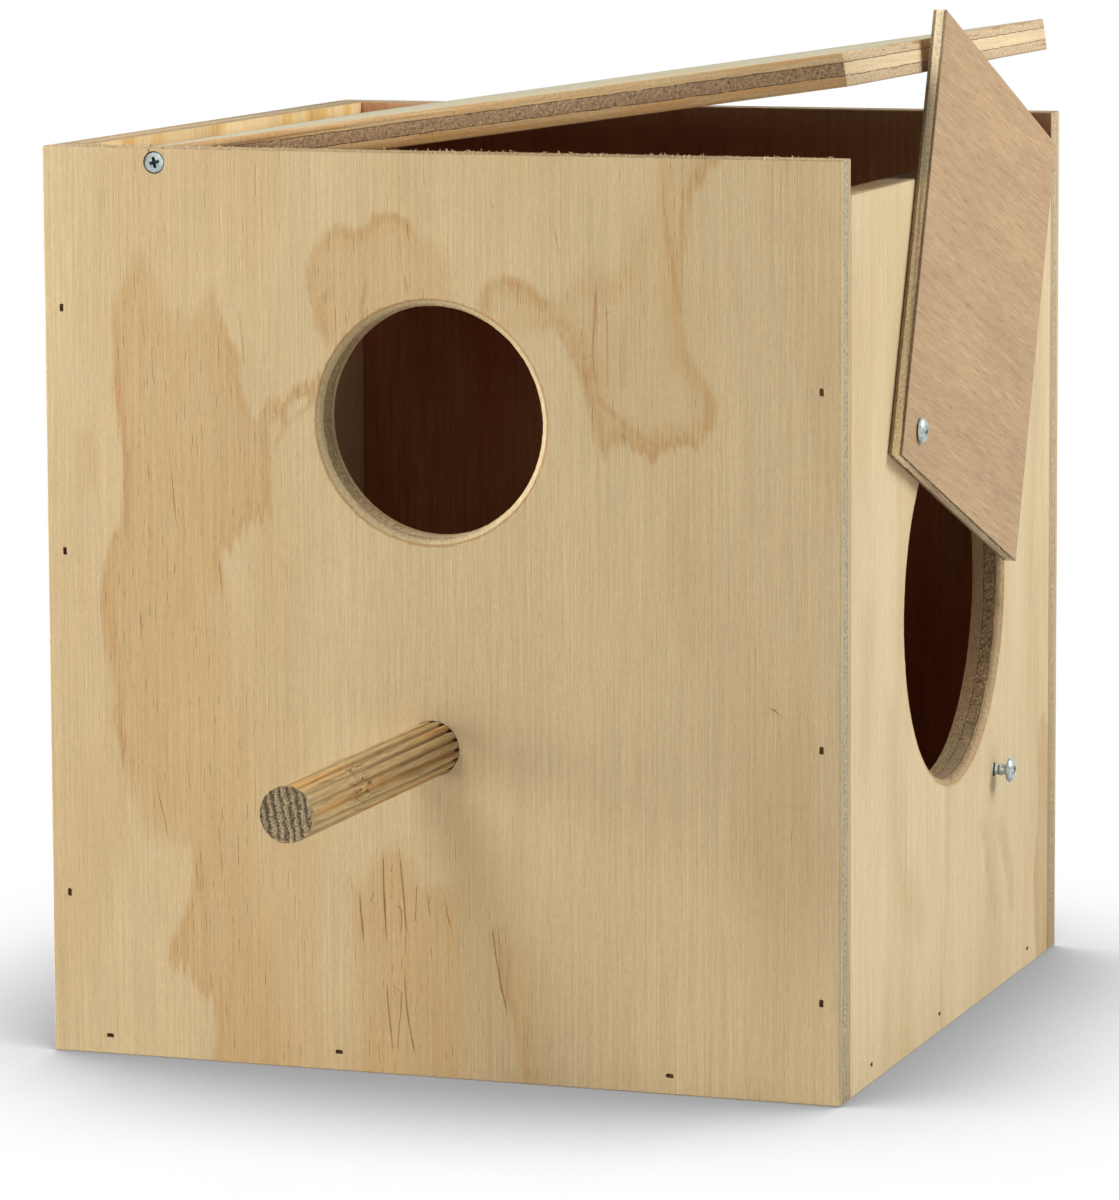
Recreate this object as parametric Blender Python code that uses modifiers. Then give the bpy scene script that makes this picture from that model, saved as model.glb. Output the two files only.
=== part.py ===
"""Plywood parakeet nest box with a swing lid, a fluted perch and a pivoting inspection door.

Metres, +Z up. The origin is the centre of the base's underside, +X is the box's right
side seen from the front, and +Y runs from the front panel to the back panel.
The front and back panels cover the ends of the two sides, and the floor sits inside
all four walls. The lid turns on two screws through the front and back panels, and
the door turns on one screw in the right panel and latches under the head of another.
"""
import math

import bmesh
import bpy
from mathutils import Matrix, Vector

COLLECTION = "parakeet_nest_box"

# Plywood carcass
BOX_WIDTH = 0.226
BOX_DEPTH = 0.226
BOX_HEIGHT = 0.250
PLY = 0.009
ARRIS = 0.0003
JOINT_GAP = 0.0003

# Entrance hole and perch, on one vertical line drilled a little left of centre
DRILL_LINE_OFFSET = -0.0010
ENTRANCE_DIAMETER = 0.0622
ENTRANCE_BELOW_TOP = 0.072
RIM_WEAR = 0.0024
PERCH_DIAMETER = 0.0150
PERCH_BELOW_ENTRANCE = 0.088
PERCH_REACH = 0.105
PERCH_FIT = 0.0003
PERCH_END_CHAMFER = 0.0005
FLUTE_DEPTH = 0.0007
FLUTE_COUNT = 16
FLUTE_POINTS = 6

# Lid, shown lifted a little off the right panel
LID_PIVOT_INSET = 0.0328
LID_PIVOT_RISE = 0.0005
LID_TAIL_CLEARANCE = 0.002
LID_SIDE_CLEARANCE = 0.0008
LID_REST_CLEARANCE = 0.0005
LID_LIFT_DEGREES = 8.2

# Inspection hole, centred in the right panel's depth
INSPECTION_DIAMETER = 0.1015
INSPECTION_BELOW_TOP = 0.1294

# Door over the inspection hole, shown swung up clear of it
DOOR_PLY = 0.0038
DOOR_CLEARANCE = 0.0003
DOOR_LAP_LENGTH = 0.0255
DOOR_LAP_WIDTH = 0.0235
DOOR_ARRIS = 0.0002
DOOR_PIVOT_END_INSET = 0.01466
DOOR_PIVOT_SIDE_INSET = 0.01062
DOOR_PIVOT_PAST_RIM = 0.02315
DOOR_PIVOT_BEARING_DEGREES = 134.59
DOOR_RAISED_DEGREES = -20.3
DOOR_SHUT_DEGREES = -86.1
STOP_BEFORE_DOOR_CORNER = 0.028
STOP_CLEARANCE = 0.0003

# Screws
SCREW_SHANK = 0.0035
SCREW_TIP = 0.003
SCREW_FIT = 0.0003
TURNING_FIT = 0.0004
LID_SCREW_LENGTH = 0.030
LID_SCREW_HEAD = 0.0056
LID_SCREW_LAND = 0.0003
LID_SCREW_SINK = 0.0003
PAN_SCREW_LENGTH = 0.012
PAN_HEAD = 0.0070
PAN_HEAD_HEIGHT = 0.0018
RECESS_WIDTH = 0.0009
RECESS_SPAN = 0.0037
RECESS_DEPTH = 0.0011

# Brads, sunk below the faces
BRAD_LENGTH = 0.028
BRAD_SINK = 0.0010
BRAD_HEAD_LENGTH = 0.0020
BRAD_HEAD_WIDTH = 0.0011
BRAD_HEAD_THICKNESS = 0.0006
BRAD_WIRE_LENGTH = 0.00125
BRAD_WIRE_WIDTH = 0.0009
BRAD_POINT = 0.0015
BRAD_FIT = 0.00025
BRAD_LINE_SHARE = 0.57
BRAD_POINT_SHARE = 0.25

# The brads along each joint: how far the end ones sit in from its low and high ends, and
# the middle one's share of its length
LEFT_COLUMN_INSETS = (0.0445, 0.0440)
LEFT_COLUMN_MIDDLE_SHARE = 0.557
RIGHT_COLUMN_INSETS = (0.0275, 0.0605)
RIGHT_COLUMN_MIDDLE_SHARE = 0.380
FRONT_ROW_INSETS = (0.0167, 0.0472)
FRONT_ROW_MIDDLE_SHARE = 0.373
BACK_ROW_INSETS = (0.0430, 0.0430)
BACK_ROW_MIDDLE_SHARE = 0.500
RIGHT_ROW_INSETS = (0.0298, 0.0325)
RIGHT_ROW_MIDDLE_SHARE = 0.432
LEFT_ROW_INSETS = (0.0460, 0.0450)
LEFT_ROW_MIDDLE_SHARE = 0.500

# How far cutters run past the faces that they cut
OVERRUN = 0.001

# Facets of round work
HOLE_SEGMENTS = 96
SCREW_SEGMENTS = 32
WEAR_STEPS = 3
DOME_STEPS = 4

# Places and sizes that follow from the above
FRONT_Y = -BOX_DEPTH / 2
BACK_Y = BOX_DEPTH / 2
LEFT_X = -BOX_WIDTH / 2
RIGHT_X = BOX_WIDTH / 2
INNER_DEPTH = BOX_DEPTH - 2 * PLY
INNER_WIDTH = BOX_WIDTH - 2 * PLY
ENTRANCE_Z = BOX_HEIGHT - ENTRANCE_BELOW_TOP
PERCH_Z = ENTRANCE_Z - PERCH_BELOW_ENTRANCE
LID_PIVOT_X = LEFT_X + LID_PIVOT_INSET
LID_PIVOT_Z = BOX_HEIGHT - PLY / 2 + LID_PIVOT_RISE
LID_TAIL = LID_PIVOT_INSET - PLY - LID_TAIL_CLEARANCE
LID_REACH = BOX_WIDTH - LID_PIVOT_INSET
DOOR_LENGTH = INSPECTION_DIAMETER + DOOR_LAP_LENGTH
DOOR_WIDTH = INSPECTION_DIAMETER + DOOR_LAP_WIDTH
PAN_SEAT = DOOR_CLEARANCE + DOOR_PLY + DOOR_CLEARANCE

POINTING_FRONT = Matrix.Rotation(math.radians(90), 4, "X")
POINTING_BACK = Matrix.Rotation(math.radians(-90), 4, "X")
POINTING_RIGHT = Matrix.Rotation(math.radians(90), 4, "Y")


def around(degrees, radius):
    """Return the Y and Z of a point on a circle in the right panel's plane."""
    turn = math.radians(degrees)
    return Vector((0, radius * math.cos(turn), radius * math.sin(turn)))


INSPECTION_CENTRE = Vector((RIGHT_X, 0, BOX_HEIGHT - INSPECTION_BELOW_TOP))
DOOR_PIVOT = INSPECTION_CENTRE + around(DOOR_PIVOT_BEARING_DEGREES,
                                        INSPECTION_DIAMETER / 2 + DOOR_PIVOT_PAST_RIM)
# The stop screw stands where the shut door's far edge meets its shank
STOP_PLACE = (DOOR_PIVOT
              + around(DOOR_SHUT_DEGREES, DOOR_LENGTH - DOOR_PIVOT_END_INSET
                       + SCREW_SHANK / 2 + STOP_CLEARANCE)
              + around(DOOR_SHUT_DEGREES + 90, DOOR_WIDTH - DOOR_PIVOT_SIDE_INSET
                       - STOP_BEFORE_DOOR_CORNER))


def clear_scene():
    """Remove every object, mesh and material that the file starts with."""
    for thing in list(bpy.data.objects):
        bpy.data.objects.remove(thing, do_unlink=True)
    for mesh in list(bpy.data.meshes):
        bpy.data.meshes.remove(mesh)
    for material in list(bpy.data.materials):
        bpy.data.materials.remove(material)


def make_collection(name):
    """Return a new collection linked to the scene."""
    collection = bpy.data.collections.new(name)
    bpy.context.scene.collection.children.link(collection)
    return collection


def make_material(name, colour, roughness, metallic=0.0):
    """Return a Principled BSDF material."""
    material = bpy.data.materials.new(name)
    material.use_nodes = True
    shader = material.node_tree.nodes["Principled BSDF"]
    shader.inputs["Base Color"].default_value = (*colour, 1.0)
    shader.inputs["Roughness"].default_value = roughness
    shader.inputs["Metallic"].default_value = metallic
    return material


def place_mesh(name, mesh, matrix, parent=None):
    """Place a mesh as an object: of the model if it has a material, or else as a cutter."""
    thing = bpy.data.objects.new(name, mesh)
    if mesh.materials:
        model.objects.link(thing)
    else:
        thing.hide_render = True
        thing.display_type = "WIRE"
        cutters.objects.link(thing)
    thing.parent = parent
    thing.matrix_local = matrix
    return thing


def finish_mesh(name, bm, material=None):
    """Turn a bmesh into a mesh with its faces pointing out."""
    bmesh.ops.recalc_face_normals(bm, faces=bm.faces[:])
    mesh = bpy.data.meshes.new(name)
    bm.to_mesh(mesh)
    bm.free()
    if material is not None:
        mesh.materials.append(material)
    return mesh


def link_mesh(name, bm, material, matrix, parent=None):
    """Turn a bmesh into an object, placed by a matrix under an optional parent."""
    return place_mesh(name, finish_mesh(name, bm, material), matrix, parent)


def make_pivot(name, place, axis, degrees):
    """Return an empty on a joint's axis, turned to the pose that is modelled."""
    pivot = bpy.data.objects.new(name, None)
    model.objects.link(pivot)
    pivot.matrix_world = Matrix.Translation(place) @ Matrix.Rotation(math.radians(degrees), 4, axis)
    return pivot


def cut(target, *tools):
    """Cut each tool out of the target."""
    for tool in tools:
        boolean = target.modifiers.new("cut_" + tool.name, "BOOLEAN")
        boolean.operation = "DIFFERENCE"
        boolean.solver = "EXACT"
        boolean.object = tool


def make_board(name, material, size, centre, arris, parent=None):
    """Make a plywood board with eased edges."""
    bm = bmesh.new()
    bmesh.ops.create_cube(bm, size=1.0)
    bmesh.ops.scale(bm, vec=Vector(size), verts=bm.verts[:])
    board = link_mesh(name, bm, material, Matrix.Translation(centre), parent)
    bevel = board.modifiers.new("arris", "BEVEL")
    bevel.width = arris
    bevel.segments = 1
    return board


def make_turned(name, material, profile, matrix, segments, parent=None):
    """Revolve a profile of (radius, height) points, given top to bottom, about local Z."""
    bm = bmesh.new()
    points = [bm.verts.new((radius, 0, height)) for radius, height in profile]
    for upper, lower in zip(points, points[1:]):
        bm.edges.new((upper, lower))
    turned = link_mesh(name, bm, material, matrix, parent)
    screw = turned.modifiers.new("turn", "SCREW")
    screw.axis = "Z"
    screw.steps = segments
    screw.render_steps = segments
    screw.use_merge_vertices = True
    screw.merge_threshold = ARRIS / 100
    if material is not None:
        turned.data.shade_smooth()
        turned.data.set_sharp_from_angle(angle=math.radians(35))
    return turned


def hole_profile(radius, depth, wear):
    """Profile of a hole's cutter whose mouth, at height 0, is worn round."""
    wall = radius, -wear
    lip = []
    for step in range(1, WEAR_STEPS + 1):
        turn = math.radians(180 - 75 * step / WEAR_STEPS)
        lip.append((radius + wear + wear * math.cos(turn), -wear + wear * math.sin(turn)))
    rise = OVERRUN - lip[-1][1]
    mouth = lip[-1][0] + rise * math.tan(math.radians(75)), OVERRUN
    return [(0, OVERRUN), mouth, *reversed(lip), wall, (radius, -depth), (0, -depth)]


def countersunk_profile(grow=0.0, top=0.0, tip=SCREW_TIP):
    """Profile of a countersunk screw, or of its hole when it is grown by a fit."""
    head = LID_SCREW_HEAD / 2 + grow
    shank = SCREW_SHANK / 2 + grow
    land = -LID_SCREW_LAND - grow * math.tan(math.radians(22.5))
    end = -LID_SCREW_LENGTH - grow
    return [(0, top), (head, top), (head, land), (shank, land - (head - shank)),
            (shank, end + tip), (0, end)]


def pan_profile():
    """Profile of a pan head screw with its head's underside at height 0."""
    radius = PAN_HEAD / 2
    side = PAN_HEAD_HEIGHT / 2
    dome = []
    for step in range(DOME_STEPS + 1):
        turn = math.radians(90 * step / DOME_STEPS)
        dome.append((radius * math.sin(turn), side + (PAN_HEAD_HEIGHT - side) * math.cos(turn)))
    shank = SCREW_SHANK / 2
    return [*dome, (radius, 0), (shank, 0), (shank, SCREW_TIP - PAN_SCREW_LENGTH), (0, -PAN_SCREW_LENGTH)]


def make_recess(name, matrix, top, spin):
    """Make one slot of a cross recess: a bar that narrows towards its bottom."""
    bm = bmesh.new()
    bmesh.ops.create_cube(bm, size=1.0)
    height = RECESS_DEPTH + OVERRUN
    bmesh.ops.scale(bm, vec=(RECESS_SPAN, RECESS_WIDTH, height), verts=bm.verts[:])
    low = [vert for vert in bm.verts if vert.co.z < 0]
    bmesh.ops.scale(bm, vec=(RECESS_WIDTH / RECESS_SPAN, RECESS_WIDTH / RECESS_SPAN, 1.0), verts=low)
    lift = Matrix.Translation((0, 0, top - RECESS_DEPTH + height / 2))
    return link_mesh(name, bm, None, matrix @ lift @ Matrix.Rotation(math.radians(spin), 4, "Z"))


def make_screw(name, profile, matrix, top, turn):
    """Make a screw with a cross recess in its head, turned as the driver left it."""
    screw = make_turned(name, zinc, profile, matrix, SCREW_SEGMENTS)
    for arm, spin in enumerate((turn, turn + 90)):
        cut(screw, make_recess(f"{name}_recess_{arm}", matrix, top, spin))
    return screw


def make_rod(name, radius, low, high, matrix, parent=None):
    """Make a round cutter along local Z from low to high."""
    bm = bmesh.new()
    bmesh.ops.create_cone(bm, cap_ends=True, segments=SCREW_SEGMENTS, radius1=radius, radius2=radius,
                          depth=high - low)
    bmesh.ops.translate(bm, vec=(0, 0, (low + high) / 2), verts=bm.verts[:])
    return link_mesh(name, bm, None, matrix, parent)


def flute_radius(angle):
    """Radius of the perch's outline: broad ridges with a narrow groove between them."""
    ridge = abs(math.sin(angle * FLUTE_COUNT / 2))
    return PERCH_DIAMETER / 2 - FLUTE_DEPTH * (1 - ridge) ** 2


def make_perch():
    """Make the fluted dowel, whose inner end is flush with the front panel's inner face."""
    bm = bmesh.new()
    bmesh.ops.create_cone(bm, cap_ends=True, segments=FLUTE_COUNT * FLUTE_POINTS, radius1=1.0,
                          radius2=1.0, depth=1.0)
    for vert in bm.verts:
        radius = flute_radius(math.atan2(vert.co.y, vert.co.x))
        height = PERCH_REACH - PERCH_END_CHAMFER if vert.co.z > 0 else -PLY
        vert.co = Vector((vert.co.x * radius, vert.co.y * radius, height))
    end = max(bm.faces, key=lambda face: face.calc_center_median().z)
    tip = bmesh.ops.extrude_discrete_faces(bm, faces=[end])["faces"][0]
    narrower = 1 - PERCH_END_CHAMFER / (PERCH_DIAMETER / 2)
    bmesh.ops.scale(bm, vec=(narrower, narrower, 1.0), verts=tip.verts[:])
    bmesh.ops.translate(bm, vec=(0, 0, PERCH_END_CHAMFER), verts=tip.verts[:])
    place = Matrix.Translation((DRILL_LINE_OFFSET, FRONT_Y, PERCH_Z)) @ POINTING_FRONT
    return link_mesh("perch", bm, dowel_wood, place)


def add_stepped_bar(bm, top, sections):
    """Add a bar down local -Z that steps through (bottom, width, length) sections."""
    bottom, width, length = sections[0]
    bmesh.ops.create_cube(bm, size=1.0)
    for vert in bm.verts:
        height = top if vert.co.z > 0 else bottom
        vert.co = Vector((vert.co.x * width, vert.co.y * length, height))
    end = min(bm.faces, key=lambda face: face.calc_center_median().z)
    for step_bottom, step_width, step_length in sections[1:]:
        end = bmesh.ops.extrude_discrete_faces(bm, faces=[end])["faces"][0]
        bmesh.ops.scale(bm, vec=(step_width / width, step_length / length, 1.0), verts=end.verts[:])
        width, length = step_width, step_length
        end = bmesh.ops.extrude_discrete_faces(bm, faces=[end])["faces"][0]
        drop = end.calc_center_median().z - step_bottom
        bmesh.ops.translate(bm, vec=(0, 0, -drop), verts=end.verts[:])


def make_brad_mesh():
    """Make one brad, its head sunk below the face at height 0 and its point a chisel."""
    bm = bmesh.new()
    point = -BRAD_SINK - BRAD_LENGTH
    add_stepped_bar(bm, -BRAD_SINK, [
        (-BRAD_SINK - BRAD_HEAD_THICKNESS, BRAD_HEAD_WIDTH, BRAD_HEAD_LENGTH),
        (point + BRAD_POINT, BRAD_WIRE_WIDTH, BRAD_WIRE_LENGTH)])
    end = min(bm.faces, key=lambda face: face.calc_center_median().z)
    tip = bmesh.ops.extrude_discrete_faces(bm, faces=[end])["faces"][0]
    bmesh.ops.scale(bm, vec=(1.0, BRAD_POINT_SHARE, 1.0), verts=tip.verts[:])
    bmesh.ops.translate(bm, vec=(0, 0, -BRAD_POINT), verts=tip.verts[:])
    return finish_mesh("brad", bm, bright_wire)


def make_brad_hole_mesh():
    """Make the cutter for one brad's pocket and the hole that its wire drives."""
    bm = bmesh.new()
    add_stepped_bar(bm, OVERRUN, [
        (-BRAD_SINK - BRAD_HEAD_THICKNESS - BRAD_FIT,
         BRAD_HEAD_WIDTH + 2 * BRAD_FIT, BRAD_HEAD_LENGTH + 2 * BRAD_FIT),
        (-BRAD_SINK - BRAD_LENGTH - BRAD_FIT,
         BRAD_WIRE_WIDTH + 2 * BRAD_FIT, BRAD_WIRE_LENGTH + 2 * BRAD_FIT)])
    return finish_mesh("brad_hole", bm)


def brad_row(length, insets, middle_share):
    """Return how far along a joint its three brads sit."""
    return insets[0], middle_share * length, length - insets[1]


def drive_brads(name, start, along, outward, distances, boards):
    """Drive a row of brads through a face into the boards that the joint holds together.

    The row starts at a point of the face and runs along a direction.
    Each brad's wide side lies along the row, and its hole is cut in every board given.
    """
    turn = Matrix((along.cross(outward), along, outward)).transposed().to_4x4()
    for number, distance in enumerate(distances, 1):
        place = Matrix.Translation(Vector(start) + along * distance) @ turn
        place_mesh(f"{name}_{number}", brad_mesh, place)
        hole = place_mesh(f"{name}_{number}_hole", brad_hole_mesh, place)
        for board in boards:
            cut(board, hole)


def make_carcass():
    """Make the four walls and the floor, with the holes that their fittings need."""
    wall_z = BOX_HEIGHT / 2
    end_size = (BOX_WIDTH, PLY, BOX_HEIGHT)
    side_depth = INNER_DEPTH - 2 * JOINT_GAP
    right_height = BOX_HEIGHT - PLY - LID_REST_CLEARANCE
    boards = {
        "front": make_board("front_panel", pine_ply, end_size, (0, FRONT_Y + PLY / 2, wall_z), ARRIS),
        "back": make_board("back_panel", pine_ply, end_size, (0, BACK_Y - PLY / 2, wall_z), ARRIS),
        "left": make_board("left_panel", pine_ply, (PLY, side_depth, BOX_HEIGHT),
                           (LEFT_X + PLY / 2, 0, wall_z), ARRIS),
        "right": make_board("right_panel", pine_ply, (PLY, side_depth, right_height),
                            (RIGHT_X - PLY / 2, 0, right_height / 2), ARRIS),
        "floor": make_board("floor_panel", pine_ply,
                            (INNER_WIDTH - 2 * JOINT_GAP, side_depth, PLY), (0, 0, PLY / 2), ARRIS),
    }
    entrance = make_turned("entrance_hole", None,
                           hole_profile(ENTRANCE_DIAMETER / 2, PLY + OVERRUN, RIM_WEAR),
                           Matrix.Translation((DRILL_LINE_OFFSET, FRONT_Y, ENTRANCE_Z)) @ POINTING_FRONT,
                           HOLE_SEGMENTS)
    perch_hole = make_rod("perch_hole", PERCH_DIAMETER / 2 + PERCH_FIT, -PLY - OVERRUN, OVERRUN,
                          Matrix.Translation((DRILL_LINE_OFFSET, FRONT_Y, PERCH_Z)) @ POINTING_FRONT)
    inspection = make_turned("inspection_hole", None,
                             hole_profile(INSPECTION_DIAMETER / 2, PLY + OVERRUN, RIM_WEAR),
                             Matrix.Translation(INSPECTION_CENTRE) @ POINTING_RIGHT, HOLE_SEGMENTS)
    cut(boards["front"], entrance, perch_hole)
    cut(boards["right"], inspection)
    return boards


def make_brads(boards):
    """Nail the walls to each other and to the floor."""
    line = BRAD_LINE_SHARE * PLY
    up, across, back = Vector((0, 0, 1)), Vector((1, 0, 0)), Vector((0, 1, 0))
    left_column = brad_row(BOX_HEIGHT, LEFT_COLUMN_INSETS, LEFT_COLUMN_MIDDLE_SHARE)
    right_column = brad_row(BOX_HEIGHT, RIGHT_COLUMN_INSETS, RIGHT_COLUMN_MIDDLE_SHARE)
    front_row = brad_row(BOX_WIDTH, FRONT_ROW_INSETS, FRONT_ROW_MIDDLE_SHARE)
    back_row = brad_row(BOX_WIDTH, BACK_ROW_INSETS, BACK_ROW_MIDDLE_SHARE)
    left_row = brad_row(BOX_DEPTH, LEFT_ROW_INSETS, LEFT_ROW_MIDDLE_SHARE)
    right_row = brad_row(BOX_DEPTH, RIGHT_ROW_INSETS, RIGHT_ROW_MIDDLE_SHARE)
    # The back's columns mirror the front's, as seen from outside
    for end, y, outward, columns, row in (
            ("front", FRONT_Y, -back, (left_column, right_column), front_row),
            ("back", BACK_Y, back, (right_column, left_column), back_row)):
        for side, x, column in (("left", LEFT_X + line, columns[0]),
                                ("right", RIGHT_X - line, columns[1])):
            drive_brads(f"{end}_{side}_brad", (x, y, 0), up, outward, column, (boards[end], boards[side]))
        drive_brads(f"{end}_floor_brad", (LEFT_X, y, line), across, outward, row,
                    (boards[end], boards["floor"]))
    for side, x, outward, row in (("left", LEFT_X, -across, left_row), ("right", RIGHT_X, across, right_row)):
        drive_brads(f"{side}_floor_brad", (x, FRONT_Y, line), back, outward, row,
                    (boards[side], boards["floor"]))


def make_lid(boards):
    """Make the lid, bored in both long edges for the two screws that it turns on."""
    pivot = make_pivot("lid_pivot", (LID_PIVOT_X, 0, LID_PIVOT_Z), "Y", -LID_LIFT_DEGREES)
    length = LID_TAIL + LID_REACH
    width = INNER_DEPTH - 2 * LID_SIDE_CLEARANCE
    lid = make_board("lid", pine_ply, (length, width, PLY), ((LID_REACH - LID_TAIL) / 2, 0, -LID_PIVOT_RISE),
                     ARRIS, pivot)
    bore = SCREW_SHANK / 2 + TURNING_FIT
    for end, y, pointing, turn, sign in (
            ("front", FRONT_Y + LID_SCREW_SINK, POINTING_FRONT, 20, -1),
            ("back", BACK_Y - LID_SCREW_SINK, POINTING_BACK, 65, 1)):
        place = Matrix.Translation((LID_PIVOT_X, y, LID_PIVOT_Z)) @ pointing
        make_screw(f"lid_screw_{end}", countersunk_profile(), place, 0, turn)
        seat = make_turned(f"lid_screw_{end}_seat", None,
                           countersunk_profile(SCREW_FIT, LID_SCREW_SINK + OVERRUN, tip=SCREW_FIT),
                           place, SCREW_SEGMENTS)
        cut(boards[end], seat)
        mouth = Matrix.Translation((0, sign * width / 2, 0)) @ pointing
        depth = LID_SCREW_LENGTH + LID_SCREW_SINK - PLY - LID_SIDE_CLEARANCE + TURNING_FIT
        cut(lid, make_rod(f"lid_bore_{end}", bore, -depth, OVERRUN, mouth, pivot))


def make_door(boards):
    """Make the inspection door, its pivot screw and the screw that it latches under."""
    pivot = make_pivot("door_pivot", DOOR_PIVOT, "X", DOOR_RAISED_DEGREES)
    centre = (DOOR_CLEARANCE + DOOR_PLY / 2, DOOR_LENGTH / 2 - DOOR_PIVOT_END_INSET,
              DOOR_WIDTH / 2 - DOOR_PIVOT_SIDE_INSET)
    door = make_board("inspection_door", hardwood_ply, (DOOR_PLY, DOOR_LENGTH, DOOR_WIDTH), centre,
                      DOOR_ARRIS, pivot)
    cut(door, make_rod("door_bore", SCREW_SHANK / 2 + TURNING_FIT, -OVERRUN, PAN_SEAT + OVERRUN,
                       POINTING_RIGHT.copy(), pivot))
    for name, place, turn in (("door_pivot_screw", DOOR_PIVOT, 35), ("door_stop_screw", STOP_PLACE, 10)):
        seat = Matrix.Translation(place + Vector((PAN_SEAT, 0, 0))) @ POINTING_RIGHT
        make_screw(name, pan_profile(), seat, PAN_HEAD_HEIGHT, turn)
        pilot = make_rod(name + "_pilot", SCREW_SHANK / 2 + SCREW_FIT, -PAN_SCREW_LENGTH - SCREW_FIT,
                         OVERRUN, seat)
        cut(boards["right"], pilot)


clear_scene()
model = make_collection(COLLECTION)
cutters = make_collection(COLLECTION + "_cutters")
pine_ply = make_material("pine_plywood", (0.72, 0.54, 0.31), 0.6)
hardwood_ply = make_material("hardwood_plywood", (0.56, 0.37, 0.23), 0.6)
dowel_wood = make_material("dowel_wood", (0.46, 0.30, 0.13), 0.7)
zinc = make_material("zinc_plated_steel", (0.68, 0.70, 0.70), 0.3, 1.0)
bright_wire = make_material("brad_wire", (0.45, 0.43, 0.40), 0.45, 1.0)
brad_mesh = make_brad_mesh()
brad_hole_mesh = make_brad_hole_mesh()

carcass = make_carcass()
make_perch()
make_brads(carcass)
make_lid(carcass)
make_door(carcass)
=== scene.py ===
import logging
import math
from dataclasses import dataclass
from enum import Enum

import bmesh
import bpy
import numpy as np
from mathutils import Matrix, Vector, noise


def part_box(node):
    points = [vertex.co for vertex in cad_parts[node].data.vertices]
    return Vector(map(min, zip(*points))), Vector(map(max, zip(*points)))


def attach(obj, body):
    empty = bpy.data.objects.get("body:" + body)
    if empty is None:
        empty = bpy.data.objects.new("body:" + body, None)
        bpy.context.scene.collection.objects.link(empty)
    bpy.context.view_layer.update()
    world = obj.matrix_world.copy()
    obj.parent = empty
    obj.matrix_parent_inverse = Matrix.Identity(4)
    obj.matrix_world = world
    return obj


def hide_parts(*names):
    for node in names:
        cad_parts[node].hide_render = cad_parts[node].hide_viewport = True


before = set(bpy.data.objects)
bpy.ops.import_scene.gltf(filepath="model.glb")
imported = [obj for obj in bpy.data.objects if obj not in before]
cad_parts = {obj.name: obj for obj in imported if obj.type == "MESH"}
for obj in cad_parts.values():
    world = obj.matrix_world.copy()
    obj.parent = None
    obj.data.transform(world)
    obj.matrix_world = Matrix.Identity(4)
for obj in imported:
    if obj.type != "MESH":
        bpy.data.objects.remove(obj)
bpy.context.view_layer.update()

logging.basicConfig(level=logging.INFO, format="%(name)s: %(message)s")
log = logging.getLogger("nest_box")

Socket = bpy.types.NodeSocket
Colour = tuple[float, float, float]
Place = tuple[float, float, float]

MM = 0.001
CLOSE = 0.01 * MM
SAME = 0.001 * MM
SHARP_DEGREES = 32
BODY_BOX = "box"
BODY_LID = "lid"
BODY_DOOR = "door"


class Figure(Enum):
    """How a face veneer gets its figure."""

    MAPPED = "from growth rings laid out on the face"
    PLAIN = "from a soft noise"


@dataclass(frozen=True, eq=False)
class Term:
    """A value that a node gives, which can stand in a sum."""

    nodes: "Nodes"
    socket: Socket

    def __add__(self, other: "Value") -> "Term":
        """Return this and another together."""
        return self.nodes.math("ADD", self, other)

    def __sub__(self, other: "Value") -> "Term":
        """Return this less another."""
        return self.nodes.math("SUBTRACT", self, other)

    def __rsub__(self, other: "Value") -> "Term":
        """Return another less this."""
        return self.nodes.math("SUBTRACT", other, self)

    def __mul__(self, other: "Value") -> "Term":
        """Return this times another."""
        return self.nodes.math("MULTIPLY", self, other)

    def __truediv__(self, other: "Value") -> "Term":
        """Return this over another."""
        return self.nodes.math("DIVIDE", self, other)

    def swing(self, amount: "Value", base: "Value") -> "Term":
        """Return a base moved by how far a noise is from its middle, times an amount."""
        return self.nodes.math("MULTIPLY_ADD", self - 0.5, amount, base)


Value = float | Term | Socket


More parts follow.
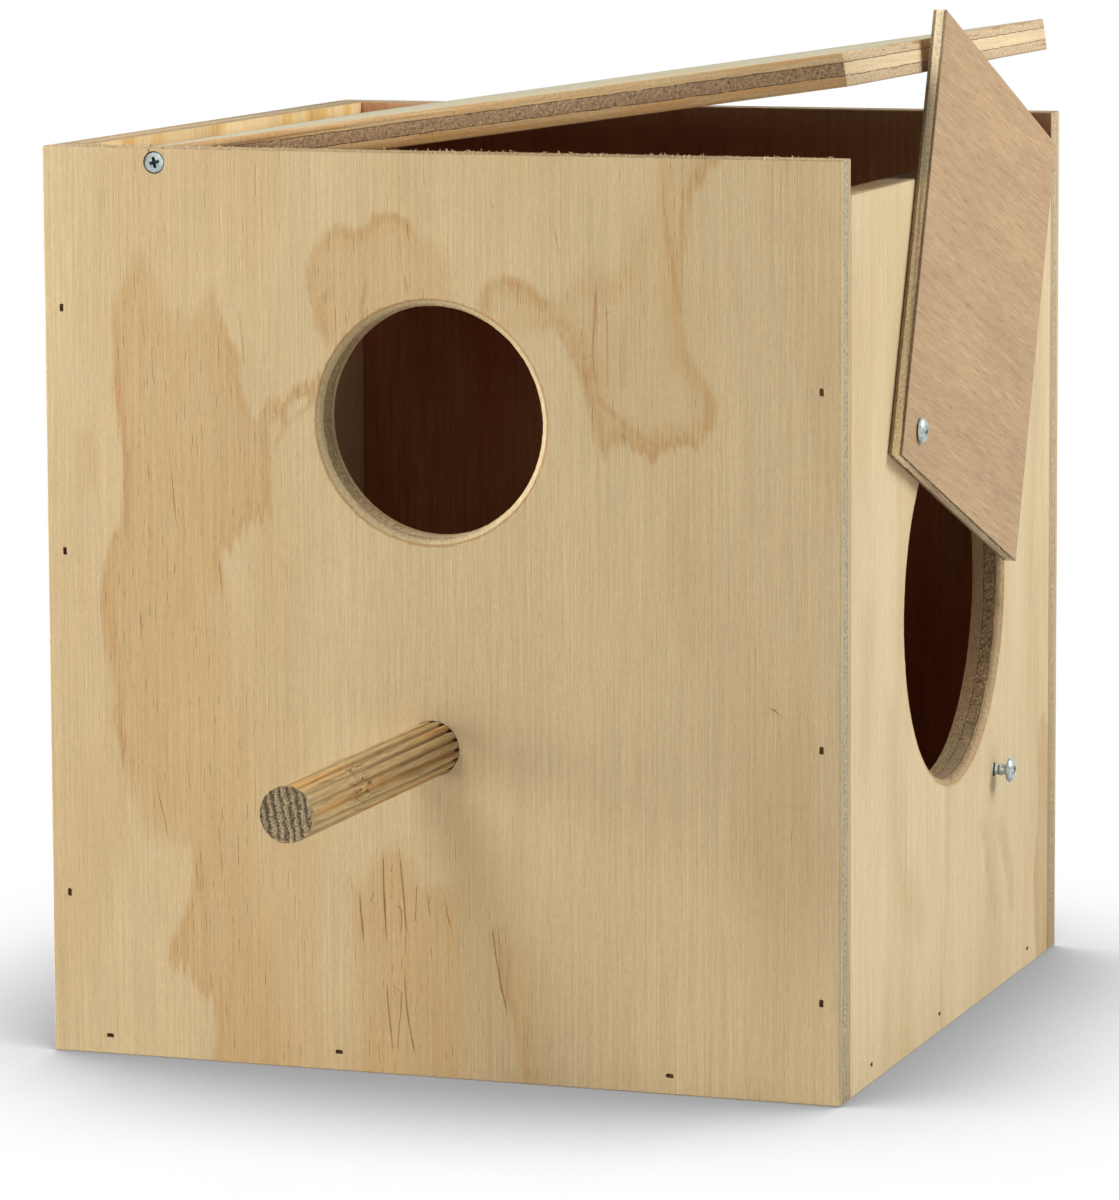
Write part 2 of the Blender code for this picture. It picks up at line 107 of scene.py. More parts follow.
class Nodes:
    """Adds and joins the nodes of one material or world."""

    def __init__(self, owner: bpy.types.Material | bpy.types.World, shader: str = "Principled BSDF") -> None:
        """Start from the shader that the owner comes with."""
        owner.use_nodes = True
        self.owner = owner
        self.tree = owner.node_tree
        self.shader = self.tree.nodes[shader]

    @classmethod
    def material(cls, name: str) -> "Nodes":
        """Start a new material."""
        return cls(bpy.data.materials.new(name))

    def feed(self, socket: Socket, value: object) -> None:
        """Set a socket, or link it where the value is another node's output."""
        if isinstance(value, Term):
            value = value.socket
        if isinstance(value, Socket):
            self.tree.links.new(value, socket)
        elif hasattr(value, "__len__") and len(value) == 3 and len(socket.default_value) == 4:
            socket.default_value = (*value, 1.0)
        else:
            socket.default_value = value

    def add(self, kind: str, inputs: dict[str | int, object], output: str | int = 0, **settings: object) -> Term:
        """Add a node.

        Args:
            kind: the node's type name.
            inputs: values or outputs for its sockets, by name or number.
            output: which of its outputs is wanted, by name or number.
            settings: the node's own properties.

        Returns:
            The output.
        """
        node = self.tree.nodes.new(kind)
        for key, setting in settings.items():
            setattr(node, key, setting)
        for key, value in inputs.items():
            self.feed(node.inputs[key], value)
        return Term(self, node.outputs[output])

    def finish(self, piece: bpy.types.Object, height: Value, depth: float, inputs: dict[str, object]) -> None:
        """Feed the shader and put the material on a piece in place of what it has.

        Args:
            piece: what wears it.
            height: how far the surface is raised, from 0 to 1.
            depth: how much a height of 1 is, in metres.
            inputs: values for the shader's sockets.
        """
        for name, value in inputs.items():
            self.feed(self.shader.inputs[name], value)
        raised = self.add("ShaderNodeBump", {"Strength": 1.0, "Distance": depth, "Height": height})
        self.feed(self.shader.inputs["Normal"], raised)
        piece.data.materials.clear()
        piece.data.materials.append(self.owner)

    def math(self, operation: str, first: Value, second: Value = 0.0, third: Value = 0.0) -> Term:
        """Return the result of one sum."""
        return self.add("ShaderNodeMath", {0: first, 1: second, 2: third}, operation=operation)

    def ramp(self, value: Value, low: Value, high: Value, start: Value = 0.0, end: Value = 1.0) -> Term:
        """Return a value that eases from start to end as another goes from low to high."""
        return self.add("ShaderNodeMapRange", {0: value, 1: low, 2: high, 3: start, 4: end},
                        interpolation_type="SMOOTHSTEP", clamp=True)

    def peak(self, value: Term, centre: Value, reach: Value) -> Term:
        """Return 1 at a centre, falling to 0 at a reach on either side."""
        return self.ramp(self.math("ABSOLUTE", value - centre) / reach, 0.0, 1.0, 1.0, 0.0)

    def noise(self, place: Term, scale: Colour | float, detail: float = 2.0, roughness: float = 0.5,
              shift: float = 0.0) -> Term:
        """Return a noise from 0 to 1.

        Args:
            place: the point that it is read at, in metres.
            scale: how many features it has to the metre, along each axis or along all.
            detail: its octaves.
            roughness: how strong the finer ones are.
            shift: moves the pattern, so that two boards differ.

        Returns:
            The noise's value.
        """
        scales = scale if isinstance(scale, tuple) else (scale, scale, scale)
        moved = self.add("ShaderNodeVectorMath", {0: place, 1: scales, 2: (shift, shift * 0.7, shift * 1.3)},
                         operation="MULTIPLY_ADD")
        return self.add("ShaderNodeTexNoise", {"Vector": moved, "Scale": 1.0, "Detail": detail,
                                               "Roughness": roughness}, noise_dimensions="3D")

    def mix(self, share: Value, first: object, second: object, blend: str = "MIX") -> Term:
        """Return one colour mixed into another by a share."""
        return self.add("ShaderNodeMix", {0: share, 6: first, 7: second}, 2, data_type="RGBA",
                        blend_type=blend, clamp_factor=True)

    def between(self, share: Term, first: Value, second: Value) -> Term:
        """Return a number between two others by a share."""
        return self.math("MULTIPLY_ADD", share, second - first, first)

    def turn(self, first: Term, second: Term, share: Value) -> Term:
        """Return one vector mixed into another by a share."""
        return self.add("ShaderNodeMix", {0: share, 4: first, 5: second}, 1, data_type="VECTOR")

    def shade(self, colour: object, factor: Term) -> Term:
        """Return a colour times a factor."""
        grey = self.add("ShaderNodeCombineColor", {0: factor, 1: factor, 2: factor})
        return self.mix(1.0, colour, grey, "MULTIPLY")

    def attribute(self, name: str) -> Term:
        """Return a number that the mesh carries at its points."""
        return self.add("ShaderNodeAttribute", {}, "Fac", attribute_name=name)

    def split(self, vector: Value) -> list[Term]:
        """Return a vector's three parts."""
        parts = self.add("ShaderNodeSeparateXYZ", {0: vector}).socket.node.outputs
        return [Term(self, part) for part in parts]

    def join(self, *parts: Value) -> Term:
        """Return a vector of three parts."""
        return self.add("ShaderNodeCombineXYZ", dict(enumerate(parts)))

    def seen(self) -> Term:
        """Return 1 where the camera sees a surface, straight or by way of a shine or a clear body."""
        path = self.tree.nodes.new("ShaderNodeLightPath").outputs
        indirect = self.math("MAXIMUM", path["Is Glossy Ray"], path["Is Transmission Ray"])
        return self.math("MAXIMUM", path["Is Camera Ray"], indirect)


@dataclass(frozen=True)
class Lay:
    """Where a board lies: a corner of its outer face, and its three directions.

    across and along run over the face, along with its grain, and depth runs inwards from it.
    """

    origin: Vector
    across: Vector
    along: Vector
    depth: Vector
    thickness: float

    def read(self, co: Vector) -> Vector:
        """Return a point's place across, along and into the board."""
        away = co - self.origin
        return Vector((away.dot(self.across), away.dot(self.along), away.dot(self.depth)))

    def middle(self, node: str) -> Vector:
        """Return where the middle of a CAD node lies on the board."""
        low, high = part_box(node)
        return self.read((low + high) / 2)

    def put(self, vert: bmesh.types.BMVert, across: float, along: float, depth: float) -> None:
        """Move a point to a place across, along and into the board."""
        vert.co = self.origin + self.across * across + self.along * along + self.depth * depth

    def coordinates(self, n: Nodes) -> tuple[Term, list[Term]]:
        """Return the point in the board's own directions, and how squarely it faces each of them."""
        source = n.tree.nodes.new("ShaderNodeTexCoord").outputs
        turn = Matrix((self.across, self.along, self.depth))
        angles = turn.to_euler("XYZ")
        place = n.add("ShaderNodeMapping", {"Vector": source["Object"], "Rotation": angles,
                                            "Location": -(turn @ self.origin)})
        facing = n.add("ShaderNodeMapping", {"Vector": source["Normal"], "Rotation": angles},
                       vector_type="VECTOR")
        return place, n.split(n.add("ShaderNodeVectorMath", {0: facing}, operation="ABSOLUTE"))


@dataclass(frozen=True)
class PinePly:
    """Three-ply softwood board: clear face veneers over a rough core laid crosswise."""

    light: Colour = (0.618, 0.468, 0.262)
    late: Colour = (0.530, 0.338, 0.147)
    line: Colour = (0.430, 0.215, 0.070)
    # Painted shade: the inner veneer's colour is darkened and reddened to stand for the shade inside the box. The
    # colour after it is a lighter copy laid on the inner face above a given height, where light falls in over the
    # walls: painted light. stripe is the grain drawn in that lit copy.
    inner: Colour = (0.510, 0.300, 0.160)
    inner_lit: Colour = (0.510, 0.300, 0.160)
    sawn: Colour = (0.600, 0.490, 0.310)
    sawn_late: Colour = (0.560, 0.410, 0.220)
    end_face: Colour = (0.430, 0.300, 0.160)
    core: Colour = (0.520, 0.390, 0.225)
    end_core: Colour = (0.290, 0.195, 0.110)
    glue: Colour = (0.050, 0.028, 0.014)
    # Painted shade: dark is laid in the brads' slots, where shade falls.
    dark: Colour = (0.260, 0.135, 0.050)
    stripe: Colour = (0.450, 0.240, 0.110)
    lip_share: float = 0.6
    first_share: float = 0.33
    last_share: float = 0.73
    bore_shares: tuple[float, float] = (0.33, 0.73)
    # The bore colours are the hole walls' own copies of the core and sawn colours, made darker for the shade inside
    # the holes: the wood's cut grain with painted shade.
    bore_core_and_shade: Colour = (0.290, 0.195, 0.110)
    bore_sawn_and_shade: Colour = (0.550, 0.440, 0.250)
    glue_width: float = 0.20 * MM
    # Height from which the painted-light copy takes over on the inner face.
    inner_lit_from: float = 180 * MM
    speckle: float = 2.6
    torn: float = 1.2
    veins: float = 0.0

    def plies(self, n: Nodes, place: Term, depth: Term, thickness: float, seed: float) -> tuple[Term, Term, Term]:
        """Return how far a point is in the core, in the inner veneer and in a glue line."""
        depth = n.noise(place, 150, 2, shift=seed).swing(0.6 * MM, depth)
        first, last = (n.between(n.attribute("bore"), share, bore) * thickness
                       for share, bore in zip((self.first_share, self.last_share), self.bore_shares))
        inner = n.math("GREATER_THAN", depth, last)
        core = n.math("GREATER_THAN", depth, first) - inner
        glue = n.math("MAXIMUM", n.peak(depth, first, self.glue_width), n.peak(depth, last, self.glue_width))
        broken = n.ramp(n.noise(place, 500, 2, shift=seed + 1), 0.35, 0.55, 0.25, 1.0)
        return core, inner, glue * broken

    def mapped_figure(self, n: Nodes, grain: Term, fibre: Term, seed: float) -> tuple[Term, Term, Term]:
        """Return how far a point is in late wood, its dark rim and a torn check, where the face has a map."""
        fingers = n.noise(grain, (260, 26, 260), 3, 0.6, seed + 9) - 0.5
        jag = n.noise(grain, (900, 30, 900), 2, 0.6, seed + 10) - 0.5
        drag = (fingers * 1.3 + jag * 0.7) * n.attribute("sway")
        inside = fibre.swing(4.0, n.attribute("inside") + drag + fingers * 4.2 + jag * 2.4)
        soft = n.attribute("soft") * 1.3 + 0.9
        edge = n.attribute("edge")
        level = n.between(n.ramp(inside, 1.0, 9.0), edge * 0.35 + 0.65, n.attribute("deep"))
        late = n.ramp(inside, soft * -1.0, soft) * level * n.attribute("tone")
        rim = n.ramp(inside, -1.3, 0.6) * n.ramp(inside, 0.6, 3.8, 1.0, 0.0) * edge * 0.38
        away = fingers * 1.2 + jag * 0.9 + n.attribute("stroke_away")
        stroke = n.peak(away, 0.0, n.attribute("stroke_width")) * n.attribute("stroke")
        return late, n.math("MAXIMUM", rim, stroke), n.ramp(stroke, 0.6, 0.9)

    def plain_figure(self, n: Nodes, grain: Term, fibre: Term, seed: float) -> tuple[Term, Term, Value]:
        """Return the same for a face whose figure is left to a noise."""
        ring = n.math("FRACT", fibre.swing(0.16, n.noise(grain, (13, 3.2, 13), 2, 0.4, seed + 11) * 3.4))
        late = n.ramp(ring, 0.35, 0.93) * n.ramp(ring, 0.97, 1.0, 1.0, 0.0)
        return late * 0.5, n.peak(ring, 0.95, 0.05) * 0.3, 0.0

    def dress(self, piece: bpy.types.Object, lay: Lay, seed: float, figure: Figure) -> None:
        """Give a board its plies, grain and figure.

        Args:
            piece: the board.
            lay: how it lies.
            seed: shifts its patterns, so that no two boards match.
            figure: where its figure comes from.
        """
        n = Nodes.material("pine_ply_" + piece.name)
        place, (side, end, flat) = lay.coordinates(n)
        u, v, t = n.split(place)
        core, inner, glue = self.plies(n, place, t, lay.thickness, seed)
        cut = n.math("MAXIMUM", n.ramp(flat, 0.55, 0.85, 1.0, 0.0), n.ramp(n.attribute("bore"), 0.1, 0.5))

        grain = n.turn(place, n.join(v, u, t), core)
        fibre = n.noise(grain, (2300, 70, 2300), 2, 0.62, seed)
        strand = n.noise(grain, (800, 34, 800), 2, 0.55, seed + 3)
        broad = n.noise(grain, (42, 9, 42), 3, 0.5, seed + 5)
        hair = n.noise(grain, (1700, 120, 1700), 1, 0.5, seed + 7)
        grit = n.noise(grain, (2500, 560, 2500), 2, 0.65, seed + 17)
        line = n.noise(grain, (1900, 14, 1900), 3, 0.6, seed + 23)
        torn_end = n.noise(n.join(u, t * 0.55 + v, t), (1500, 1250, 420), 2, 0.6, seed + 19)
        if figure is Figure.MAPPED:
            late, rim, split = self.mapped_figure(n, grain, fibre, seed)
        else:
            late, rim, split = self.plain_figure(n, grain, strand, seed)
        blush = n.ramp(n.noise(grain, (34, 7, 34), 3, 0.55, seed + 15), 0.44, 0.72, 0.0, 0.42)
        brushed = n.ramp(fibre * 0.45 + strand * 0.55, 0.34, 0.62, 0.5, 1.1)
        late = n.math("MAXIMUM", late, blush) * brushed
        rim = rim * n.ramp(strand, 0.32, 0.62, 0.25, 1.0)

        stripes = n.ramp(n.noise(grain, (75, 1.5, 75), 1, 0.5, seed + 21), 0.54, 0.66)
        # The inner face: the painted-shade colour low down, turning above a height into the painted-light copy with
        # its grain stripes.
        wood = n.mix(n.ramp(v, self.inner_lit_from, self.inner_lit_from + 30 * MM), self.inner,
                     n.mix(stripes, self.inner_lit, self.stripe))
        wood = n.mix(rim, n.mix(late, n.mix(inner, self.light, wood), self.late), self.line)
        sawn = n.mix(n.ramp(strand, 0.36, 0.62), self.sawn, self.sawn_late)
        # Hole walls take the bore copy of the sawn colour, which carries painted shade.
        sawn = n.mix(n.attribute("bore"), sawn, self.bore_sawn_and_shade)
        wood = n.mix(cut * 0.75, wood, sawn)
        wood = n.mix(n.ramp(end, 0.45, 0.95) * (1.0 - core) * cut, wood, self.end_face)
        vein = n.ramp(n.noise(place, (38, 38, 640), 3, 0.6, seed + 25), 0.54, 0.64, 0.0, self.veins)
        wood = n.mix(vein * n.ramp(end, 0.6, 0.95) * cut, wood, self.line)
        rough_core = n.ramp(side, 0.25, 0.85) * core
        # Hole walls take the bore copy of the core colour, which carries painted shade.
        rough = n.mix(n.attribute("bore"), self.end_core, self.bore_core_and_shade)
        wood = n.mix(core, wood, n.mix(rough_core, self.core, rough))
        wood = n.mix(n.ramp(n.attribute("lip"), 0.72, 0.95, 0.0, self.lip_share), wood, self.line)

        ends = cut * n.between(core, n.ramp(end, 0.45, 0.95, 0.25, 0.8), n.ramp(side, 0.25, 0.85))
        pits = n.noise(place, 1150, 3, 0.72, seed + 13)
        torn = n.math("MAXIMUM", n.ramp(hair, 0.66, 0.76) * (late * 0.9 + 0.12), split)
        tone = torn * -0.22 + 1.0
        for pattern, amount in ((fibre, 0.22), (line, 0.46), (grit, 0.34), (strand, 0.12), (broad, 0.14),
                                (torn_end, rough_core * cut * self.torn), (pits, ends * self.speckle)):
            tone = pattern.swing(amount, tone)
        wood = n.mix(glue * cut * 0.85, n.shade(wood, tone), self.glue)
        # Painted shade in the brads' slots.
        wood = n.mix(n.attribute("pocket"), wood, self.dark)
        height = fibre * 0.13 + strand * 0.1 - torn * 0.3 + pits * ends * 1.2 - glue * cut * 0.4
        n.finish(piece, height, 0.45 * MM, {"Base Color": wood, "Roughness": fibre * 0.18 + 0.5,
                                            "Specular IOR Level": 0.14})


@dataclass(frozen=True)
class DoorPly:
    """Thin board with dark hardwood faces over a pale core."""

    face: Colour = (0.455, 0.290, 0.142)
    fleck: Colour = (0.265, 0.150, 0.068)
    gleam: Colour = (0.600, 0.425, 0.250)
    core: Colour = (0.900, 0.740, 0.470)
    glue: Colour = (0.150, 0.075, 0.035)
    first_share: float = 0.20
    last_share: float = 0.78

    def dress(self, piece: bpy.types.Object, lay: Lay) -> None:
        """Give the door its veneers and their flecked grain."""
        n = Nodes.material("hardwood_ply_" + piece.name)
        place, (side, _, flat) = lay.coordinates(n)
        u, v, t = n.split(place)
        depth = n.noise(place, 300).swing(0.3 * MM, t)
        first, last = self.first_share * lay.thickness, self.last_share * lay.thickness
        core = n.math("GREATER_THAN", depth, first) * n.math("LESS_THAN", depth, last)
        grain = n.turn(place, n.join(v, u, t), core)
        fine = n.noise(grain, (2300, 85, 2300), 2, 0.6)
        middle = n.noise(grain, (650, 34, 650), 3, 0.6, 2)
        broad = n.noise(grain, (60, 14, 60), 2, 0.5, 4)
        colour = n.mix(n.ramp(fine, 0.55, 0.72, 0.0, 0.75), self.face, self.fleck)
        colour = n.mix(n.ramp(fine, 0.28, 0.45, 0.55, 0.0), colour, self.gleam)
        colour = n.mix(core, colour, self.core)
        tone = broad.swing(0.35, middle.swing(0.55, 1.0))
        cut = n.ramp(flat, 0.5, 0.85, 1.0, 0.0)
        pits = n.noise(place, 1500, 3, 0.7)
        dark = pits.swing(cut * 1.4, cut * (1.0 - core) * 0.3) + n.ramp(side, 0.5, 0.9) * core * 0.05
        colour = n.shade(colour, tone - dark)
        glue = n.math("MAXIMUM", n.peak(depth, first, 0.12 * MM), n.peak(depth, last, 0.12 * MM))
        colour = n.mix(glue * cut * 0.7, colour, self.glue)
        height = fine * -0.25 + middle * 0.2 + pits * cut * 0.8
        n.finish(piece, height, 0.3 * MM, {"Base Color": colour, "Roughness": fine * 0.2 + 0.45,
                                           "Specular IOR Level": 0.4})


@dataclass(frozen=True)
class DowelWood:
    """Weathered softwood dowel, its rings standing nearly upright across it."""

    pale: Colour = (0.540, 0.385, 0.185)
    brown: Colour = (0.150, 0.085, 0.032)
    amber: Colour = (0.600, 0.330, 0.110)
    end_pale: Colour = (0.540, 0.410, 0.235)
    end_dark: Colour = (0.040, 0.030, 0.018)
    ring_pitch: float = 2.15 * MM
    side_pitch: float = 1.45 * MM

    def dress(self, piece: bpy.types.Object, centre: Vector, knot: Vector, reach: float) -> None:
        """Give the perch its rings, the flecks on its end, and painted shade in its grooves.

        Args:
            piece: the perch.
            centre: the middle of its outer end.
            knot: where the grain turns round a small knot, measured from that.
            reach: how far the perch stands out of the panel.
        """
        n = Nodes.material("dowel_" + piece.name)
        source = n.tree.nodes.new("ShaderNodeTexCoord").outputs
        place = n.add("ShaderNodeMapping", {"Vector": source["Object"], "Location": -centre})
        x, y, z = n.split(place)
        end = n.ramp(n.split(source["Normal"])[1] * -1.0, 0.6, 0.9)
        fine = n.noise(place, (2200, 60, 2200), 3, 0.62, 1)
        middle = n.noise(place, (420, 16, 420), 3, 0.55, 5)
        bend = n.noise(place, (90, 13, 90), 2, 0.5, 8)
        curl = n.noise(place, (230, 120, 230), 2, 0.6, 9)
        from_knot = n.add("ShaderNodeVectorMath", {0: place, 1: knot}, "Value", operation="DISTANCE")
        near = n.ramp(from_knot, 2.0 * MM, 11 * MM, 1.0, 0.0)
        across = bend.swing(2.4 * MM, curl.swing(near * (7 * MM), z * 0.18 + x))
        ring = n.math("FRACT", fine.swing(1.3, (y * 0.012 + across) / self.side_pitch))
        dark = n.ramp(ring, 0.35, 0.8) * n.ramp(ring, 0.86, 1.0, 1.0, 0.0) * n.ramp(middle, 0.36, 0.62, 0.25, 1.0)
        side = n.mix(n.ramp(n.noise(place, (330, 9, 330), 2, 0.5, 6), 0.50, 0.62, 0.0, 0.85), self.pale, self.amber)
        side = n.mix(dark * 0.62, side, self.brown)
        side = n.mix(n.ramp(fine, 0.52, 0.68, 0.0, 0.70), side, self.brown)
        flecks = n.ramp(n.noise(place, (1000, 300, 1000), 2, 0.6, 11), 0.56, 0.64)
        side = n.mix(near * flecks * 0.85, side, self.end_dark)
        side = n.shade(side, fine.swing(1.2, 1.02))
        # Painted shade: the grooves are darkened, and nearly black where they run into the panel's hole.
        side = n.mix(n.attribute("groove") * 0.5, side, self.brown)
        hole_gap_shade = n.ramp(y, reach - 2.6 * MM, reach - 1.0 * MM) * n.ramp(n.attribute("groove"), 0.3, 0.6)
        side = n.mix(hole_gap_shade * 0.9, side, self.end_dark)
        pits = n.noise(place, 1900, 3, 0.78, 3)
        clump = n.noise(place, 420, 2, 0.6, 4)
        stripe = pits.swing(1.5, (z * 0.17 + x) / self.ring_pitch)
        stripe = n.math("FRACT", clump.swing(1.2, stripe))
        stripe = n.peak(stripe, 0.5, clump * 0.5 + 0.1)
        face = n.shade(self.end_pale, pits.swing(3.6, 0.95))
        face = n.mix(stripe * 0.86, face, self.end_dark)
        height = fine * 0.5 + pits * end * 0.9 - stripe * end * 0.5
        n.finish(piece, height, 0.35 * MM, {"Base Color": n.mix(end, side, face), "Roughness": fine * 0.2 + 0.55,
                                            "Specular IOR Level": 0.15})


@dataclass(frozen=True)
class Steel:
    """Plated screw or plain wire."""

    colour: Colour = (0.500, 0.560, 0.540)
    dull: Colour = (0.280, 0.340, 0.320)
    # Painted shade: recess is the dark colour laid in the cross recess of a screw's head.
    recess: Colour = (0.030, 0.055, 0.065)
    roughness: float = 0.27

    def dress(self, piece: bpy.types.Object) -> None:
        """Give a screw or brad its plating, clouded a little, with painted shade in the recess."""
        n = Nodes.material("steel_" + piece.name)
        cloud = n.noise(n.add("ShaderNodeTexCoord", {}, "Object"), 800, 3, 0.6)
        colour = n.mix(n.ramp(cloud, 0.4, 0.65), self.colour, self.dull)
        n.finish(piece, cloud, 0.04 * MM, {"Base Color": n.mix(n.attribute("recess"), colour, self.recess),
                                           "Roughness": cloud * 0.25 + (self.roughness - 0.1), "Metallic": 1.0})


@dataclass(frozen=True)
class Zone:
    """A patch of late wood on a face: its outline in millimetres, and how its rim looks.

    Each point gives the place across and up the face, how dark the rim is there from 0 to 1,
    and how far it fades, in millimetres. sway is how far the grain drags the rim up and down,
    and deep is how strong the tone stays far inside.
    """

    points: tuple[tuple[float, float, float, float], ...]
    tone: float = 1.0
    sway: float = 3.0
    deep: float = 0.7

    def outline(self, steps: int = 4) -> np.ndarray:
        """Return the outline as a smooth closed line of points."""
        given = np.array(self.points, float)
        before, after, beyond = (np.roll(given, turn, axis=0) for turn in (1, -1, -2))
        rows = []
        for share in np.arange(steps) / steps:
            rows.append(0.5 * (2 * given + (after - before) * share
                               + (2 * before - 5 * given + 4 * after - beyond) * share ** 2
                               + (3 * given - before - 3 * after + beyond) * share ** 3))
        return np.stack(rows, axis=1).reshape(-1, 4)


@dataclass(frozen=True)
class Stroke:
    """A dark line on a face: its points across and up in millimetres, its strength and half width."""

    points: tuple[tuple[float, float], ...]
    strength: float = 0.8
    width: float = 0.9


@dataclass(frozen=True)
class FaceMap:
    """The figure of one face, measured from each of its points."""

    zones: tuple[Zone, ...]
    strokes: tuple[Stroke, ...] = ()
    fade: float = 4.0

    def read(self, places: np.ndarray) -> dict[str, np.ndarray]:
        """Return what the material needs at each place.

        Args:
            places: points on the face, across and up, in millimetres.

        Returns:
            The distance into the nearest patch, its rim's darkness, fade and sway there, its tone,
            and the distance from the nearest stroke, with that stroke's strength and width.
        """
        best = {"inside": np.full(len(places), -1e3), "edge": np.zeros(len(places)),
                "soft": np.ones(len(places)), "tone": np.zeros(len(places)), "sway": np.zeros(len(places)),
                "deep": np.zeros(len(places))}
        for zone in self.zones:
            found = self.patch(zone, places)
            higher = self.patch(zone, places + np.array((0.0, 0.8)))["inside"]
            lean = np.clip((higher - found["inside"]) / 0.8, -1, 1)
            found["sway"] = 2 * zone.sway * lean
            nearer = found["inside"] > best["inside"]
            for name, values in found.items():
                best[name] = np.where(nearer, values, best[name])
        return best | self.line(places)

    @staticmethod
    def patch(zone: Zone, places: np.ndarray) -> dict[str, np.ndarray]:
        """Return one patch's distance, rim and tone at each place."""
        start = zone.outline()
        end = np.roll(start, -1, axis=0)
        near = np.full(len(places), 1e6)
        rim = np.zeros((len(places), 2))
        within = np.zeros(len(places), bool)
        for a, b in zip(start, end):
            side = b[:2] - a[:2]
            share = np.clip((places - a[:2]) @ side / max(side @ side, 1e-9), 0, 1)
            away = np.hypot(*(places - a[:2] - share[:, None] * side).T)
            closer = away < near
            near = np.where(closer, away, near)
            rim = np.where(closer[:, None], a[2:] + share[:, None] * (b[2:] - a[2:]), rim)
            crosses = (a[1] > places[:, 1]) != (b[1] > places[:, 1])
            height = side[1] if abs(side[1]) > 1e-9 else 1e-9
            within ^= crosses & (places[:, 0] < a[0] + (places[:, 1] - a[1]) * side[0] / height)
        return {"inside": np.where(within, near, -near), "edge": np.clip(rim[:, 0], 0, 1),
                "soft": np.clip(rim[:, 1], 0.2, 30), "tone": np.full(len(places), zone.tone),
                "deep": np.full(len(places), zone.deep)}

    def line(self, places: np.ndarray) -> dict[str, np.ndarray]:
        """Return the nearest stroke's signed distance, strength and width at each place."""
        near = np.full(len(places), 1e6)
        second = near.copy()
        found = {"stroke_away": np.full(len(places), 50.0), "stroke": np.zeros(len(places)),
                 "stroke_width": np.ones(len(places))}
        for stroke in self.strokes:
            points = np.array(stroke.points, float)
            own, across, over = (np.full(len(places), 1e6) for _ in range(3))
            for a, b in zip(points, points[1:]):
                side = b - a
                length = math.hypot(*side)
                along = (places - a) @ side / length
                beside = ((places - a) @ np.array((side[1], -side[0]))) / length
                past = np.maximum(np.maximum(-along, along - length), 0)
                closer = np.hypot(beside, past) < own
                across, over = np.where(closer, beside, across), np.where(closer, past, over)
                own = np.where(closer, np.hypot(beside, past), own)
            closer = own < near
            second = np.where(closer, near, np.minimum(second, own))
            near = np.where(closer, own, near)
            strength = stroke.strength * np.clip(1 - over / 2.5, 0, 1) * (np.abs(across) < self.fade)
            found["stroke_away"] = np.where(closer, across, found["stroke_away"])
            found["stroke"] = np.where(closer, strength, found["stroke"])
            found["stroke_width"] = np.where(closer, stroke.width, found["stroke_width"])
        found["stroke"] *= np.clip(second - near, 0, 1)
        return found


